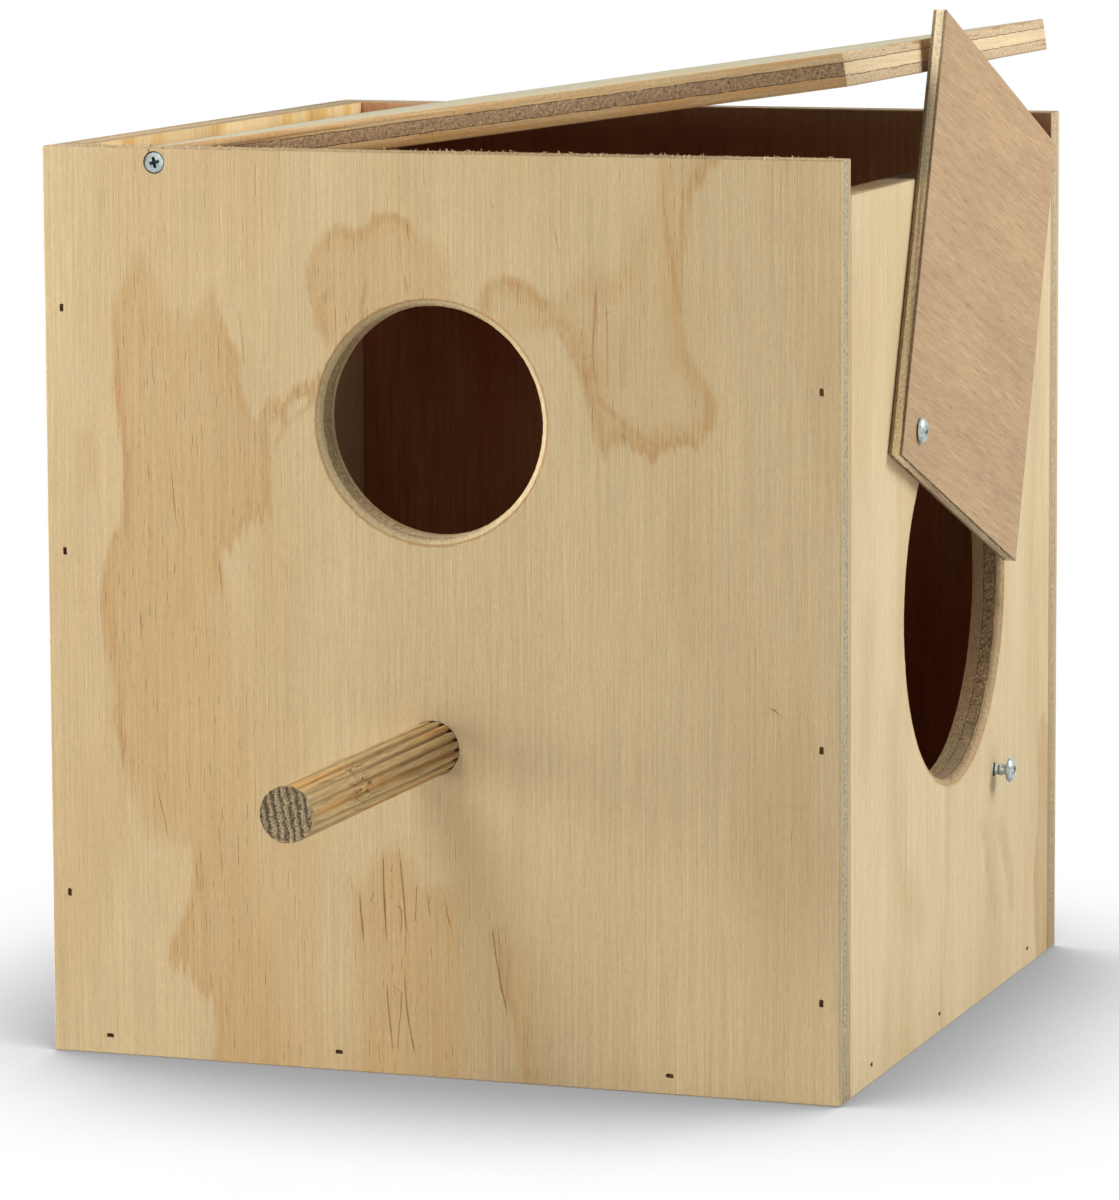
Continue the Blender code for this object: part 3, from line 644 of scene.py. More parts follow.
FRONT_FIGURE = FaceMap((
    Zone(((21, 209, .5, 2), (19.6, 200, .7, .8), (20.4, 190, .9, .5), (20.6, 180, 1, .5), (21.6, 170, 1, .5),
          (22, 160, 1, .5), (21.6, 148, .9, .5), (18.4, 141, .9, .5), (16.8, 132, .9, .5), (17.2, 122, .8, .6),
          (19.2, 110, .8, .7), (19.6, 100, .9, .5), (19, 92, 1, .5), (21.2, 83, 1, .5), (24, 76, .6, 1.5),
          (28, 64, .4, 3), (33, 61, .1, 3), (41, 58, .3, 1.5), (42.4, 52, .8, .8), (41, 44, .6, .8),
          (38, 38, .5, 1), (35, 32, .8, 1), (35.6, 27, .6, 1.5), (42, 23, .6, 1), (47, 17, .5, 1),
          (48.6, 8, .6, 1), (48.6, -5, .6, 1), (76, -5, 0, 8), (73, 20, 0, 8), (67, 45, 0, 8), (63, 65, 0, 8),
          (64, 90, 0, 8), (58, 110, 0, 8), (54, 125, 0, 6), (51.4, 134, .5, 2), (51, 141, .8, 1),
          (54, 145, .7, 1), (60, 150, .8, .8), (64.4, 154, .8, .8), (66, 162, .6, 1), (67, 175, .8, 1),
          (71, 180, .9, .8), (76, 183, .8, .8), (82, 187, .8, .8), (80, 189, .8, .8), (72, 185, .8, 1),
          (65, 180, .5, 1), (60, 179, .4, 1.5), (58, 184, .8, .8), (57, 194, .9, .8), (52.4, 203, .7, 1),
          (49, 212, .4, 3), (45, 204, .3, 3), (38, 206, .2, 3), (34, 212, .3, 3), (28, 224, .3, 3),
          (24, 214, .4, 2)), 0.95, 6.5, 0.80),
    Zone(((77, 212, .8, .8), (77.6, 220, .6, 1), (80, 225, .5, 1), (84, 229, .7, .8), (86.4, 230.6, .9, .5),
          (90, 228.6, .9, .5), (93.6, 230, 1, .5), (96, 233, 1, .5), (100, 234, 1, .5), (104.4, 233, 1, .5),
          (107, 230, 1, .6), (109, 227, .4, 2), (113, 226, .1, 4), (117, 222, .1, 3), (118, 214, .2, 2),
          (117, 205, .1, 2), (112, 195, 0, 2), (86, 195, 0, 2), (80, 202, .6, 1), (78.5, 208, .9, .6)),
         0.85, 1.8, 0.6),
    Zone(((125.6, 210, .6, 1), (128, 215, .7, 1), (132, 217.4, 1, .5), (136, 217, 1, .5), (140, 215.6, 1, .5),
          (143, 212.6, 1, .6), (148, 211, .2, 3), (152, 215, .2, 4), (158, 220, .2, 4), (163, 217, .2, 4),
          (170, 228, .1, 4), (176, 240, .2, 3), (178, 254, .4, 2), (193, 254, .6, .8), (189, 245, .8, .6),
          (185, 238, .8, .6), (183.6, 228, .6, 1), (182.5, 215, .5, 1), (183.6, 202, .5, 1),
          (185, 197.6, .6, 1), (188, 193, .6, 1), (191, 188, .7, .8), (191.6, 181, .8, .8), (189, 176.4, .9, .6),
          (185, 173.6, .9, .5), (181, 174.4, .9, .5), (177, 171.6, 1, .5), (174, 170, 1, .5), (170, 172.4, 1, .5),
          (166, 174.8, .9, .5), (162.4, 173, .6, 1), (160, 171, .5, 1.5), (158, 177, .8, .8), (156, 185, .8, .8),
          (154, 193, .8, 1), (151, 201, .7, 1), (147, 205, .6, 1.5), (142, 204, .2, 4), (136, 203, .1, 4),
          (125.6, 203, 0, 3)), 0.85, 1.6, 0.30),
    Zone(((88, 52, .2, 3), (93, 50, .3, 3), (96, 58, .3, 3), (104, 60, .3, 3), (108, 52, .2, 3), (118, 53, .2, 4),
          (121, 40, .2, 4), (121, 20, .1, 4), (119, -5, .1, 4), (88, -5, .1, 4), (90, 20, .2, 4), (89, 40, .2, 3)),
         0.95, 6.0, 0.75),
    Zone(((128, 42, .8, .8), (130, 32, .8, .8), (131, 24, .8, .8), (135, 16, .6, 1), (138, -5, .6, 1.5),
          (146, -5, 0, 5), (142, 20, 0, 5), (140, 35, 0, 5), (134, 42, 0, 4)), 0.80, 3.0),
    Zone(((9, 170, .2, 3), (14, 172, .2, 3), (15, 158, .2, 3), (10, 154, .2, 3)), 0.5, 5.0),
    Zone(((13, 66, .2, 3), (17, 64, .2, 3), (16, 50, .2, 3), (12, 46, .2, 3)), 0.5, 5.0),
), (
    Stroke(((94, 215), (92.6, 208), (93, 200)), 0.5, 1.2),
    Stroke(((103.6, 226), (104.4, 219), (105.4, 214)), 0.7, 0.6),
    Stroke(((178, 247), (177.4, 238), (178.6, 229), (180.5, 219), (182, 210)), 0.45, 1.6),
    Stroke(((158.8, 214), (158.2, 200), (158.8, 188)), 0.75, 1.0),
    Stroke(((166.4, 206), (166, 190)), 0.4, 1.4),
    Stroke(((149, 203), (154, 194), (161, 184), (168, 178), (175, 174)), 0.4, 1.8),
    Stroke(((68, 172), (72, 178), (79, 183)), 0.35, 1.6),
    Stroke(((97.6, 59), (97.9, 50), (98.4, 38)), 1.0, 0.5),
    Stroke(((98.4, 23), (98.9, 16), (99.6, 8)), 1.0, 0.4),
    Stroke(((208.0, 104.9), (208.7, 104.5)), 1.0, 0.5),
    Stroke(((147.6, 229), (148.2, 226)), 0.8, 0.4),
    Stroke(((31.4, 249.8), (31.6, 248.2)), 1.0, 0.5),
    Stroke(((102.6, 59), (103.4, 50), (104.2, 40)), 1.0, 0.5),
    Stroke(((90.6, 48), (91.4, 37)), 0.9, 0.4),
    Stroke(((128.8, 41), (130.6, 30), (132.4, 21)), 1.0, 0.5),
    Stroke(((103.6, 27), (104.4, 17), (106, 8)), 0.9, 0.5),
    Stroke(((110, 51), (110.8, 44)), 0.8, 0.4),
    Stroke(((115, 49), (116.6, 42)), 0.8, 0.4),
    Stroke(((32, 74), (34.4, 63)), 0.8, 0.4),
    Stroke(((37, 161), (38.2, 148)), 0.8, 0.4),
    Stroke(((50.6, 139), (51.4, 131)), 0.8, 0.5),
    Stroke(((28.8, 206), (29.6, 198)), 0.6, 0.4),
    Stroke(((57.4, 205), (58.4, 193)), 0.6, 0.5),
))

SIDE_FIGURE = FaceMap((
    Zone(((24, 132, .1, 6), (30, 128, .1, 6), (30, 108, .1, 6), (24, 84, .1, 6), (19, 88, .1, 6),
          (21, 112, .1, 6)), 0.5, 8.0),
    Zone(((46, 98, .1, 6), (54, 96, .1, 6), (60, 60, .1, 6), (80, 40, .1, 6), (74, 30, .1, 6), (54, 44, .1, 6),
          (46, 70, .1, 6)), 0.55, 8.0),
    Zone(((138, 52, .3, 2), (144, 46, .5, 1.5), (149, 34, .6, 1), (154, 22, .5, 1.5), (160, 24, .3, 2),
          (154, 38, .3, 3), (147, 52, .3, 3)), 0.6, 3.0),
    Zone(((158, 46, .3, 2), (164, 40, .5, 1.5), (170, 30, .5, 1.5), (175, 20, .4, 2), (178, 26, .3, 2),
          (172, 40, .3, 3), (164, 50, .3, 3)), 0.5, 3.0),
    Zone(((203, 68, .4, 2), (212, 72, .4, 2), (217, 60, .4, 2), (217, -5, .4, 2), (206, -5, .4, 2),
          (201, 24, .6, 1.5), (206, 44, .5, 1.5)), 0.9, 5.0),
    Zone(((196, 226, .1, 5), (204, 230, .1, 5), (206, 180, .1, 5), (200, 150, .1, 5), (194, 182, .1, 5)),
         0.5, 8.0),
), (
    Stroke(((201, 24), (203, 36), (206, 48)), 0.6, 0.9),
))


@dataclass(frozen=True)
class Ring:
    """A round hole through a board: where its axis meets the face, and its radius."""

    across: float
    up: float
    radius: float
    lip: float
    tear: float


@dataclass
class Board:
    """One panel, with its veneers cut apart, its holes torn a little and its figure laid out."""

    node: str
    piece: str
    lay: Lay
    finish: PinePly
    seed: float
    body: str = BODY_BOX
    figure: FaceMap | None = None
    map_start: float = 0.0
    rings: tuple[Ring, ...] = ()
    brads: tuple[str, ...] = ()
    grid: float = 2.5 * MM
    fringe: tuple[float, float] | None = None
    skin: float = 0.05 * MM
    slot_reach: float = 1.8 * MM
    slot_cuts: int = 6
    slot_sizes: tuple[float, float] = (0.9, 1.1)
    slot_chamfer: float = 0.1 * MM
    pocket_reach: float = 2.6 * MM
    pocket_floor: float = 8.5 * MM
    level: float = 0.02 * MM
    fibre_step: float = 0.45 * MM
    fibre_gaps: float = 0.25

    def build(self) -> bpy.types.Object:
        """Make the panel and dress it."""
        bm = merged_copy(self.node)
        self.round_slots(bm)
        self.part_plies(bm)
        if self.figure:
            self.grid_face(bm)
        for ring in self.rings:
            self.tear_rim(bm, ring)
        if self.fringe:
            self.raise_fibres(bm)
        bmesh.ops.recalc_face_normals(bm, faces=bm.faces[:])
        piece = finish_piece(self.piece, bm, self.body, self.node)
        for polygon in piece.data.polygons:
            polygon.use_smooth = abs(polygon.normal.dot(self.lay.depth)) < 0.99
        self.note_figure(piece)
        self.finish.dress(piece, self.lay, self.seed, Figure.MAPPED if self.figure else Figure.PLAIN)
        return piece

    def round_slots(self, bm: bmesh.types.BMesh) -> None:
        """Round the mouths of the slots that the brads' heads are punched into, and lay the face anew."""
        for name in self.brads:
            brad = self.lay.middle(name)

            def mouth(verts: bmesh.types.BMVertSeq) -> list[tuple[bmesh.types.BMVert, float, float]]:
                """Return the points round this slot's mouth, with their places from the brad."""
                reads = [(vert, self.lay.read(vert.co)) for vert in verts]
                return [(vert, read.x - brad.x, read.y - brad.y) for vert, read in reads
                        if math.hypot(read.x - brad.x, read.y - brad.y) < self.slot_reach and abs(read.z) < self.skin]

            rim = [edge for edge in bm.edges if len(mouth(edge.verts)) == 2]
            bmesh.ops.subdivide_edges(bm, edges=rim, cuts=self.slot_cuts)
            points = mouth(bm.verts)
            wide, tall = (max((abs(point[axis]) for point in points), default=1.0) for axis in (1, 2))
            narrow, long = self.slot_sizes
            for vert, across, up in points:
                reach = math.hypot(across / wide, up / tall)
                self.lay.put(vert, brad.x + across / reach * (narrow if wide < tall else long),
                             brad.y + up / reach * (narrow if tall < wide else long), 0.0)
        if not self.brads:
            return
        flat = [face for face in bm.faces if all(abs(self.lay.read(vert.co).z) < CLOSE for vert in face.verts)]
        bmesh.ops.delete(bm, geom=flat, context="FACES")
        border = [edge for edge in bm.edges if edge.is_boundary]
        bmesh.ops.triangle_fill(bm, use_beauty=True, edges=border, normal=-self.lay.depth)

    def part_plies(self, bm: bmesh.types.BMesh) -> None:
        """Cut the edges of the board where its veneers meet, and once inside each."""
        first, last = (share * self.lay.thickness for share in (self.finish.first_share, self.finish.last_share))
        for depth in (*([self.slot_chamfer] if self.brads else []), first, (first + last) / 2, last):
            slice_mesh(bm, self.lay.origin + self.lay.depth * depth, self.lay.depth)

    def grid_face(self, bm: bmesh.types.BMesh) -> None:
        """Cut the outer face into a grid that can carry the figure."""
        faces = [face for face in bm.faces if face.normal.dot(self.lay.depth) < -0.99
                 and self.lay.read(face.calc_center_median()).z < 0.1 * MM]
        geom = list(dict.fromkeys([*faces, *(edge for face in faces for edge in face.edges),
                                   *(vert for face in faces for vert in face.verts)]))
        reads = [self.lay.read(vert.co) for face in faces for vert in face.verts]
        for direction, values in ((self.lay.across, [read.x for read in reads]),
                                  (self.lay.along, [read.y for read in reads])):
            for step in range(1, int((max(values) - min(values)) / self.grid)):
                place = self.lay.origin + direction * (min(values) + step * self.grid)
                cut = bmesh.ops.bisect_plane(bm, geom=geom, dist=CLOSE, plane_co=place, plane_no=direction)
                geom = cut["geom"]

    def tear_rim(self, bm: bmesh.types.BMesh, ring: Ring) -> None:
        """Give a hole's wall and rims the small tears that a hole saw leaves."""
        def polar(vert: bmesh.types.BMVert) -> tuple[float, float, float]:
            """Return a point's distance and angle round the hole's axis, and its depth."""
            read = self.lay.read(vert.co)
            away = (read.x - ring.across, read.y - ring.up)
            return math.hypot(*away), math.atan2(away[1], away[0]), read.z

        def on_wall(radius: float, depth: float) -> bool:
            """Tell whether a point lies on the hole's wall or its rounded lip."""
            return ring.radius - 0.1 * MM < radius < ring.radius + ring.lip and depth > -CLOSE

        levels = {}
        for vert in bm.verts:
            radius, _, depth = polar(vert)
            vert.tag = True
            if on_wall(radius, depth):
                levels.setdefault(round(depth / self.level), []).append(radius)
        hoops = []
        for edge in bm.edges:
            ends = [polar(vert) for vert in edge.verts]
            if all(on_wall(radius, depth) for radius, _, depth in ends) and \
                    abs(ends[0][0] - ends[1][0]) < 1.5 * self.level and abs(ends[0][2] - ends[1][2]) < self.level:
                hoops.append(edge)
        bmesh.ops.subdivide_edges(bm, edges=hoops, cuts=2, use_grid_fill=True)
        for vert in bm.verts:
            radius, angle, depth = polar(vert)
            if not on_wall(radius, depth):
                continue
            level = round(depth / self.level)
            known = [key for key in (level, level - 1, level + 1) if key in levels]
            if known and not vert.tag:
                radius = sum(levels[known[0]]) / len(levels[known[0]])
            radius -= self.tear(ring, angle, depth)
            self.lay.put(vert, ring.across + radius * math.cos(angle), ring.up + radius * math.sin(angle), depth)

    def tear(self, ring: Ring, angle: float, depth: float) -> float:
        """Return how far the wall of a hole stands in from a true circle at an angle and a depth."""
        share = depth / self.lay.thickness
        turn = Vector((math.cos(angle), math.sin(angle), 0)) * ring.radius / MM
        rough = noise.noise(turn * 0.9 + Vector((0, 0, depth / MM * 0.8 + self.seed)))
        tufts = max(0.0, noise.noise(turn * 1.1 + Vector((7, 3, self.seed))) - 0.12)
        patch = max(0.0, noise.noise(turn * 0.06 + Vector((2, 9, self.seed))) + 0.25)
        if share < 0.28:
            return ring.tear * (0.45 * rough + (3.2 - 8.0 * share) * tufts * patch)
        if self.finish.first_share < share < self.finish.last_share:
            return ring.tear * 1.1 * rough
        return ring.tear * 0.05 * rough

    def raise_fibres(self, bm: bmesh.types.BMesh) -> None:
        """Stand torn fibres along the board's upper edge, between two places across it."""
        rng = np.random.default_rng(int(self.seed * 10))
        start, end = self.fringe
        top = max(self.lay.read(vert.co).y for vert in bm.verts)
        for place in np.arange(start, end, self.fibre_step):
            if rng.random() < self.fibre_gaps:
                continue
            length = (0.35 + 0.8 * rng.random() ** 2) * MM
            width = (0.15 + 0.30 * rng.random()) * MM
            depth = (0.15 + 8.4 * rng.random() ** 2) * MM
            across = place + rng.normal() * 0.5 * MM
            root = self.lay.origin + self.lay.across * across + self.lay.depth * depth
            root += self.lay.along * (top + 0.35 * length)
            turn = self.lay.along.to_track_quat("Z", "Y").to_matrix().to_4x4()
            turn = Matrix.Rotation(rng.normal() * 0.5, 4, self.lay.depth) @ turn
            bmesh.ops.create_cone(bm, cap_ends=True, cap_tris=True, segments=4, radius1=width, radius2=width * 0.2,
                                  depth=length, matrix=Matrix.Translation(root) @ turn)

    def note_figure(self, piece: bpy.types.Object) -> None:
        """Write on the mesh what the finish reads: the figure, and where painted shade darkens the slots that the
        brads sit in.
        """
        reads = np.array([self.lay.read(vert.co) for vert in piece.data.vertices])
        # Mark the slots round the brads, where the finish paints shade.
        pocket = np.zeros(len(reads))
        for name in self.brads:
            brad = self.lay.middle(name)
            away = np.hypot(reads[:, 0] - brad.x, reads[:, 1] - brad.y)
            sunk = (reads[:, 2] > self.skin) & (reads[:, 2] < self.pocket_floor)
            pocket = np.where((away < self.pocket_reach) & sunk, 1.0, pocket)
        lip, bore = np.zeros(len(reads)), np.zeros(len(reads))
        for ring in self.rings:
            away = np.hypot(reads[:, 0] - ring.across, reads[:, 1] - ring.up)
            lip = np.where((reads[:, 2] < 0.3 * MM) & (away < ring.radius + ring.lip), 1.0, lip)
            bore = np.where((away < ring.radius + 0.8 * ring.lip) & (reads[:, 2] > self.level), 1.0, bore)
        found = {"pocket": pocket, "lip": lip, "bore": bore}
        if self.figure:
            found |= self.figure.read(np.stack([self.map_start - reads[:, 0], reads[:, 1]], axis=1) / MM)
        for name, values in found.items():
            note(piece, name, values)


def merged_copy(node: str) -> bmesh.types.BMesh:
    """Return a CAD node's mesh with its loose triangles joined."""
    bm = bmesh.new()
    bm.from_mesh(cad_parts[node].data)
    bmesh.ops.remove_doubles(bm, verts=bm.verts[:], dist=SAME)
    return bm


def slice_mesh(bm: bmesh.types.BMesh, place: Vector, facing: Vector) -> None:
    """Cut all of a mesh's faces along a plane, and keep both sides."""
    bmesh.ops.bisect_plane(bm, geom=bm.verts[:] + bm.edges[:] + bm.faces[:], dist=CLOSE, plane_co=place,
                           plane_no=facing)


def put_in_scene(name: str, data: bpy.types.ID | bmesh.types.BMesh) -> bpy.types.Object:
    """Put a lamp, a camera or a finished bmesh in the scene as an object."""
    if isinstance(data, bmesh.types.BMesh):
        mesh = bpy.data.meshes.new(name)
        data.to_mesh(mesh)
        data.free()
        data = mesh
    placed = bpy.data.objects.new(name, data)
    bpy.context.scene.collection.objects.link(placed)
    return placed


def note(piece: bpy.types.Object, name: str, values: np.ndarray | list[float]) -> None:
    """Write a number for each point of a piece on its mesh."""
    layer = piece.data.attributes.new(name, "FLOAT", "POINT")
    layer.data.foreach_set("value", np.asarray(values, np.float32))


def finish_piece(name: str, bm: bmesh.types.BMesh, body: str, node: str) -> bpy.types.Object:
    """Turn a bmesh into a piece that stands for a CAD node and rides on a body."""
    piece = put_in_scene(name, bm)
    piece.data.shade_smooth()
    piece.data.set_sharp_from_angle(angle=math.radians(SHARP_DEGREES))
    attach(piece, body)
    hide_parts(node)
    return piece


@dataclass
class Walls:
    """The nailed plywood carcass."""

    ply: float = 9.0 * MM
    entrance: Place = (-1.0 * MM, 178.0 * MM, 31.1 * MM)
    inspection: Place = (0.0, 120.6 * MM, 50.75 * MM)
    perch_hole: Place = (-1.0 * MM, 90.0 * MM, 7.56 * MM)
    perch_hole_reach: float = 1.4 * MM
    lip: float = 2.3 * MM

    def build(self) -> list[bpy.types.Object]:
        """Make the four walls and the floor."""
        pieces = [board.build() for board in self.boards()]
        self.round_perch_hole(pieces[0])
        return pieces

    def boards(self) -> list[Board]:
        """Return the boards: front, back, left, right and floor."""
        x, y, z = Vector((1, 0, 0)), Vector((0, 1, 0)), Vector((0, 0, 1))
        low, high = {}, {}
        for name in ("front", "back", "left", "right", "floor"):
            low[name], high[name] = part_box(name + "_panel")

        def corner(name: str, ends: tuple[int, int, int]) -> Vector:
            """Return a corner of a board, 0 for its low end along an axis and 1 for its high one."""
            return Vector((low[name][axis], high[name][axis])[end] for axis, end in enumerate(ends))

        def brads(*joints: str) -> tuple[str, ...]:
            """Return the names of the brads in some joints."""
            return tuple(f"{joint}_brad_{number}" for joint in joints for number in (1, 2, 3))

        # Front and right: the bore colours carry painted shade for the walls of their holes.
        front = PinePly(end_core=(0.480, 0.420, 0.280), sawn=(0.590, 0.480, 0.275), sawn_late=(0.500, 0.390, 0.215),
                        bore_core_and_shade=(0.440, 0.310, 0.165), bore_shares=(0.20, 0.77), last_share=0.69, speckle=2.0,
                        torn=0.9)
        # Back and left: the inner colour is painted shade for the inside of the box, and the lighter inner colours
        # with their stripes are painted light near the top of the inner face.
        back = PinePly(end_core=(0.52, 0.43, 0.27), inner=(0.430, 0.140, 0.068), inner_lit=(0.960, 0.720, 0.420),
                       stripe=(0.700, 0.470, 0.240), inner_lit_from=238 * MM, speckle=1.6)
        left = PinePly(inner_lit=(0.92, 0.70, 0.38), stripe=(0.86, 0.54, 0.19))
        right = PinePly(light=(0.715, 0.575, 0.345), bore_sawn_and_shade=(0.440, 0.285, 0.142), core=(0.400, 0.290, 0.165),
                        end_core=(0.400, 0.260, 0.140), bore_core_and_shade=(0.400, 0.255, 0.130), bore_shares=(0.26, 0.62),
                        dark=(0.330, 0.220, 0.120), lip_share=0.35, torn=2.4)
        hole = (low["front"].x - self.entrance[0], *self.entrance[1:])
        side_hole = (high["right"].y - self.inspection[0], *self.inspection[1:])
        return [
            Board("front_panel", "front_panel_wood", Lay(corner("front", (0, 0, 0)), -x, z, y, self.ply), front, 1.7,
                  figure=FRONT_FIGURE, rings=(Ring(*hole, self.lip, 0.28 * MM),),
                  brads=brads("front_left", "front_right", "front_floor"), fringe=(-0.224, -0.006)),
            Board("back_panel", "back_panel_wood", Lay(corner("back", (0, 1, 0)), x, z, -y, self.ply), back, 8.2,
                  brads=brads("back_left", "back_right", "back_floor")),
            Board("left_panel", "left_panel_wood", Lay(corner("left", (0, 0, 0)), y, z, x, self.ply), left, 12.3,
                  brads=brads("left_floor")),
            Board("right_panel", "right_panel_wood", Lay(corner("right", (1, 1, 0)), -y, z, -x, self.ply), right,
                  16.4, figure=SIDE_FIGURE, map_start=high["right"].y - low["front"].y, grid=4 * MM,
                  rings=(Ring(*side_hole, self.lip, 0.45 * MM),), brads=brads("right_floor")),
            Board("floor_panel", "floor_panel_wood", Lay(corner("floor", (0, 0, 0)), x, y, z, self.ply), PinePly(),
                  20.5),
        ]

    def round_perch_hole(self, front: bpy.types.Object) -> None:
        """Close the front panel's small hole up to the perch's ridges, so that only its grooves show."""
        across, up, radius = self.perch_hole
        for vert in front.data.vertices:
            away = Vector((vert.co.x - across, vert.co.z - up))
            if away.length < radius + self.perch_hole_reach:
                away.length = radius
                vert.co.x, vert.co.z = across + away.x, up + away.y


@dataclass
class Lid:
    """The swinging lid."""

    tilt_degrees: float = 8.2
    ply: float = 9.0 * MM
    # The lid's face colour is paled towards a greenish white for the sheen its top shows at a grazing view: the
    # pine's colour with a painted sheen.
    finish: PinePly = PinePly(light=(0.525, 0.508, 0.365), sawn=(0.640, 0.430, 0.205),
                              sawn_late=(0.580, 0.310, 0.110), end_core=(0.370, 0.240, 0.132),
                              end_face=(0.660, 0.500, 0.300), veins=0.8,
                              core=(0.80, 0.62, 0.37), inner=(0.50, 0.34, 0.19), first_share=0.29, last_share=0.68)

    def build(self) -> list[bpy.types.Object]:
        """Make the lid, whose grain runs along it."""
        turn = Matrix.Rotation(math.radians(-self.tilt_degrees), 3, "Y")
        along, up = turn @ Vector((1, 0, 0)), turn @ Vector((0, 0, 1))
        points = [vert.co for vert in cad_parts["lid"].data.vertices]
        across = Vector((0, 1, 0))
        origin = (along * min(co.dot(along) for co in points) + across * min(co.y for co in points)
                  + up * max(co.dot(up) for co in points))
        lay = Lay(origin, across, along, -up, self.ply)
        return [Board("lid", "lid_wood", lay, self.finish, 31.0, body=BODY_LID).build()]


@dataclass
class Door:
    """The inspection door."""

    ply: float = 3.8 * MM
    tilt_degrees: float = -20.3
    grain_degrees: float = -17.5
    nick_shares: tuple[float, ...] = (0.215, 0.298)
    finish: DoorPly = DoorPly()

    def build(self) -> list[bpy.types.Object]:
        """Make the door, with its sawn edges left a little rough and two chips out of one."""
        bm = merged_copy("inspection_door")
        turn = Matrix.Rotation(math.radians(self.tilt_degrees), 3, "X")
        wide, tall = turn @ Vector((0, 1, 0)), turn @ Vector((0, 0, 1))
        low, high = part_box("inspection_door")
        for share in (self.finish.first_share, self.finish.last_share):
            slice_mesh(bm, Vector((high.x - share * self.ply, 0, 0)), Vector((1, 0, 0)))
        spans = {name: (min(vert.co.dot(way) for vert in bm.verts), max(vert.co.dot(way) for vert in bm.verts))
                 for name, way in (("wide", wide), ("tall", tall))}
        rims = []
        for edge in bm.edges:
            ends = [vert.co for vert in edge.verts]
            flat = abs(ends[0].x - ends[1].x) < CLOSE
            outer = any(all(abs(co.dot(way) - spans[name][side]) < 0.5 * MM for co in ends)
                        for name, way in (("wide", wide), ("tall", tall)) for side in (0, 1))
            if flat and outer and edge.calc_length() > 20 * MM:
                rims.append(edge)
        bmesh.ops.subdivide_edges(bm, edges=rims, cuts=150, use_grid_fill=True)
        for vert in bm.verts:
            self.roughen(vert, wide, tall, spans, (high.x - vert.co.x) / self.ply)
        bmesh.ops.recalc_face_normals(bm, faces=bm.faces[:])
        piece = finish_piece("inspection_door_wood", bm, BODY_DOOR, "inspection_door")
        grain = Matrix.Rotation(math.radians(self.grain_degrees), 3, "X")
        lay = Lay(Vector((high.x, low.y, low.z)), grain @ Vector((0, 0, 1)), grain @ Vector((0, 1, 0)),
                  Vector((-1, 0, 0)), self.ply)
        for polygon in piece.data.polygons:
            polygon.use_smooth = abs(polygon.normal.x) < 0.9
        self.finish.dress(piece, lay)
        return [piece]

    def roughen(self, vert: bmesh.types.BMVert, wide: Vector, tall: Vector,
                spans: dict[str, tuple[float, float]], depth: float) -> None:
        """Pull a point of the door's outline in a little, as a coarse saw leaves it.

        Args:
            vert: the point.
            wide: the direction across the door.
            tall: the direction up it.
            spans: how far the door reaches in those directions.
            depth: how deep the point is in the board, from 0 on its outer face to 1.
        """
        across, up = vert.co.dot(wide), vert.co.dot(tall)
        hash_at = Vector((across, up, depth * 3 * MM)) / MM
        rough = 0.5 + 0.5 * noise.noise(hash_at * 1.1)
        tuft = max(0.0, noise.noise(hash_at * 0.7 + Vector((5, 1, 2))) - 0.1)
        if abs(up - spans["tall"][0]) < 0.05 * MM:
            vert.co += tall * (0.30 * rough + 1.1 * tuft) * MM
        elif abs(up - spans["tall"][1]) < 0.05 * MM:
            vert.co -= tall * 0.10 * rough * MM
        if abs(across - spans["wide"][1]) < 0.05 * MM:
            share = (spans["tall"][1] - up) / (spans["tall"][1] - spans["tall"][0])
            chip = sum(max(0.0, 1 - abs(share - nick) * 60) for nick in self.nick_shares)
            vert.co -= wide * (0.10 * rough + (1.0 - 0.5 * depth) * chip) * MM
        elif abs(across - spans["wide"][0]) < 0.05 * MM:
            vert.co += wide * 0.12 * rough * MM


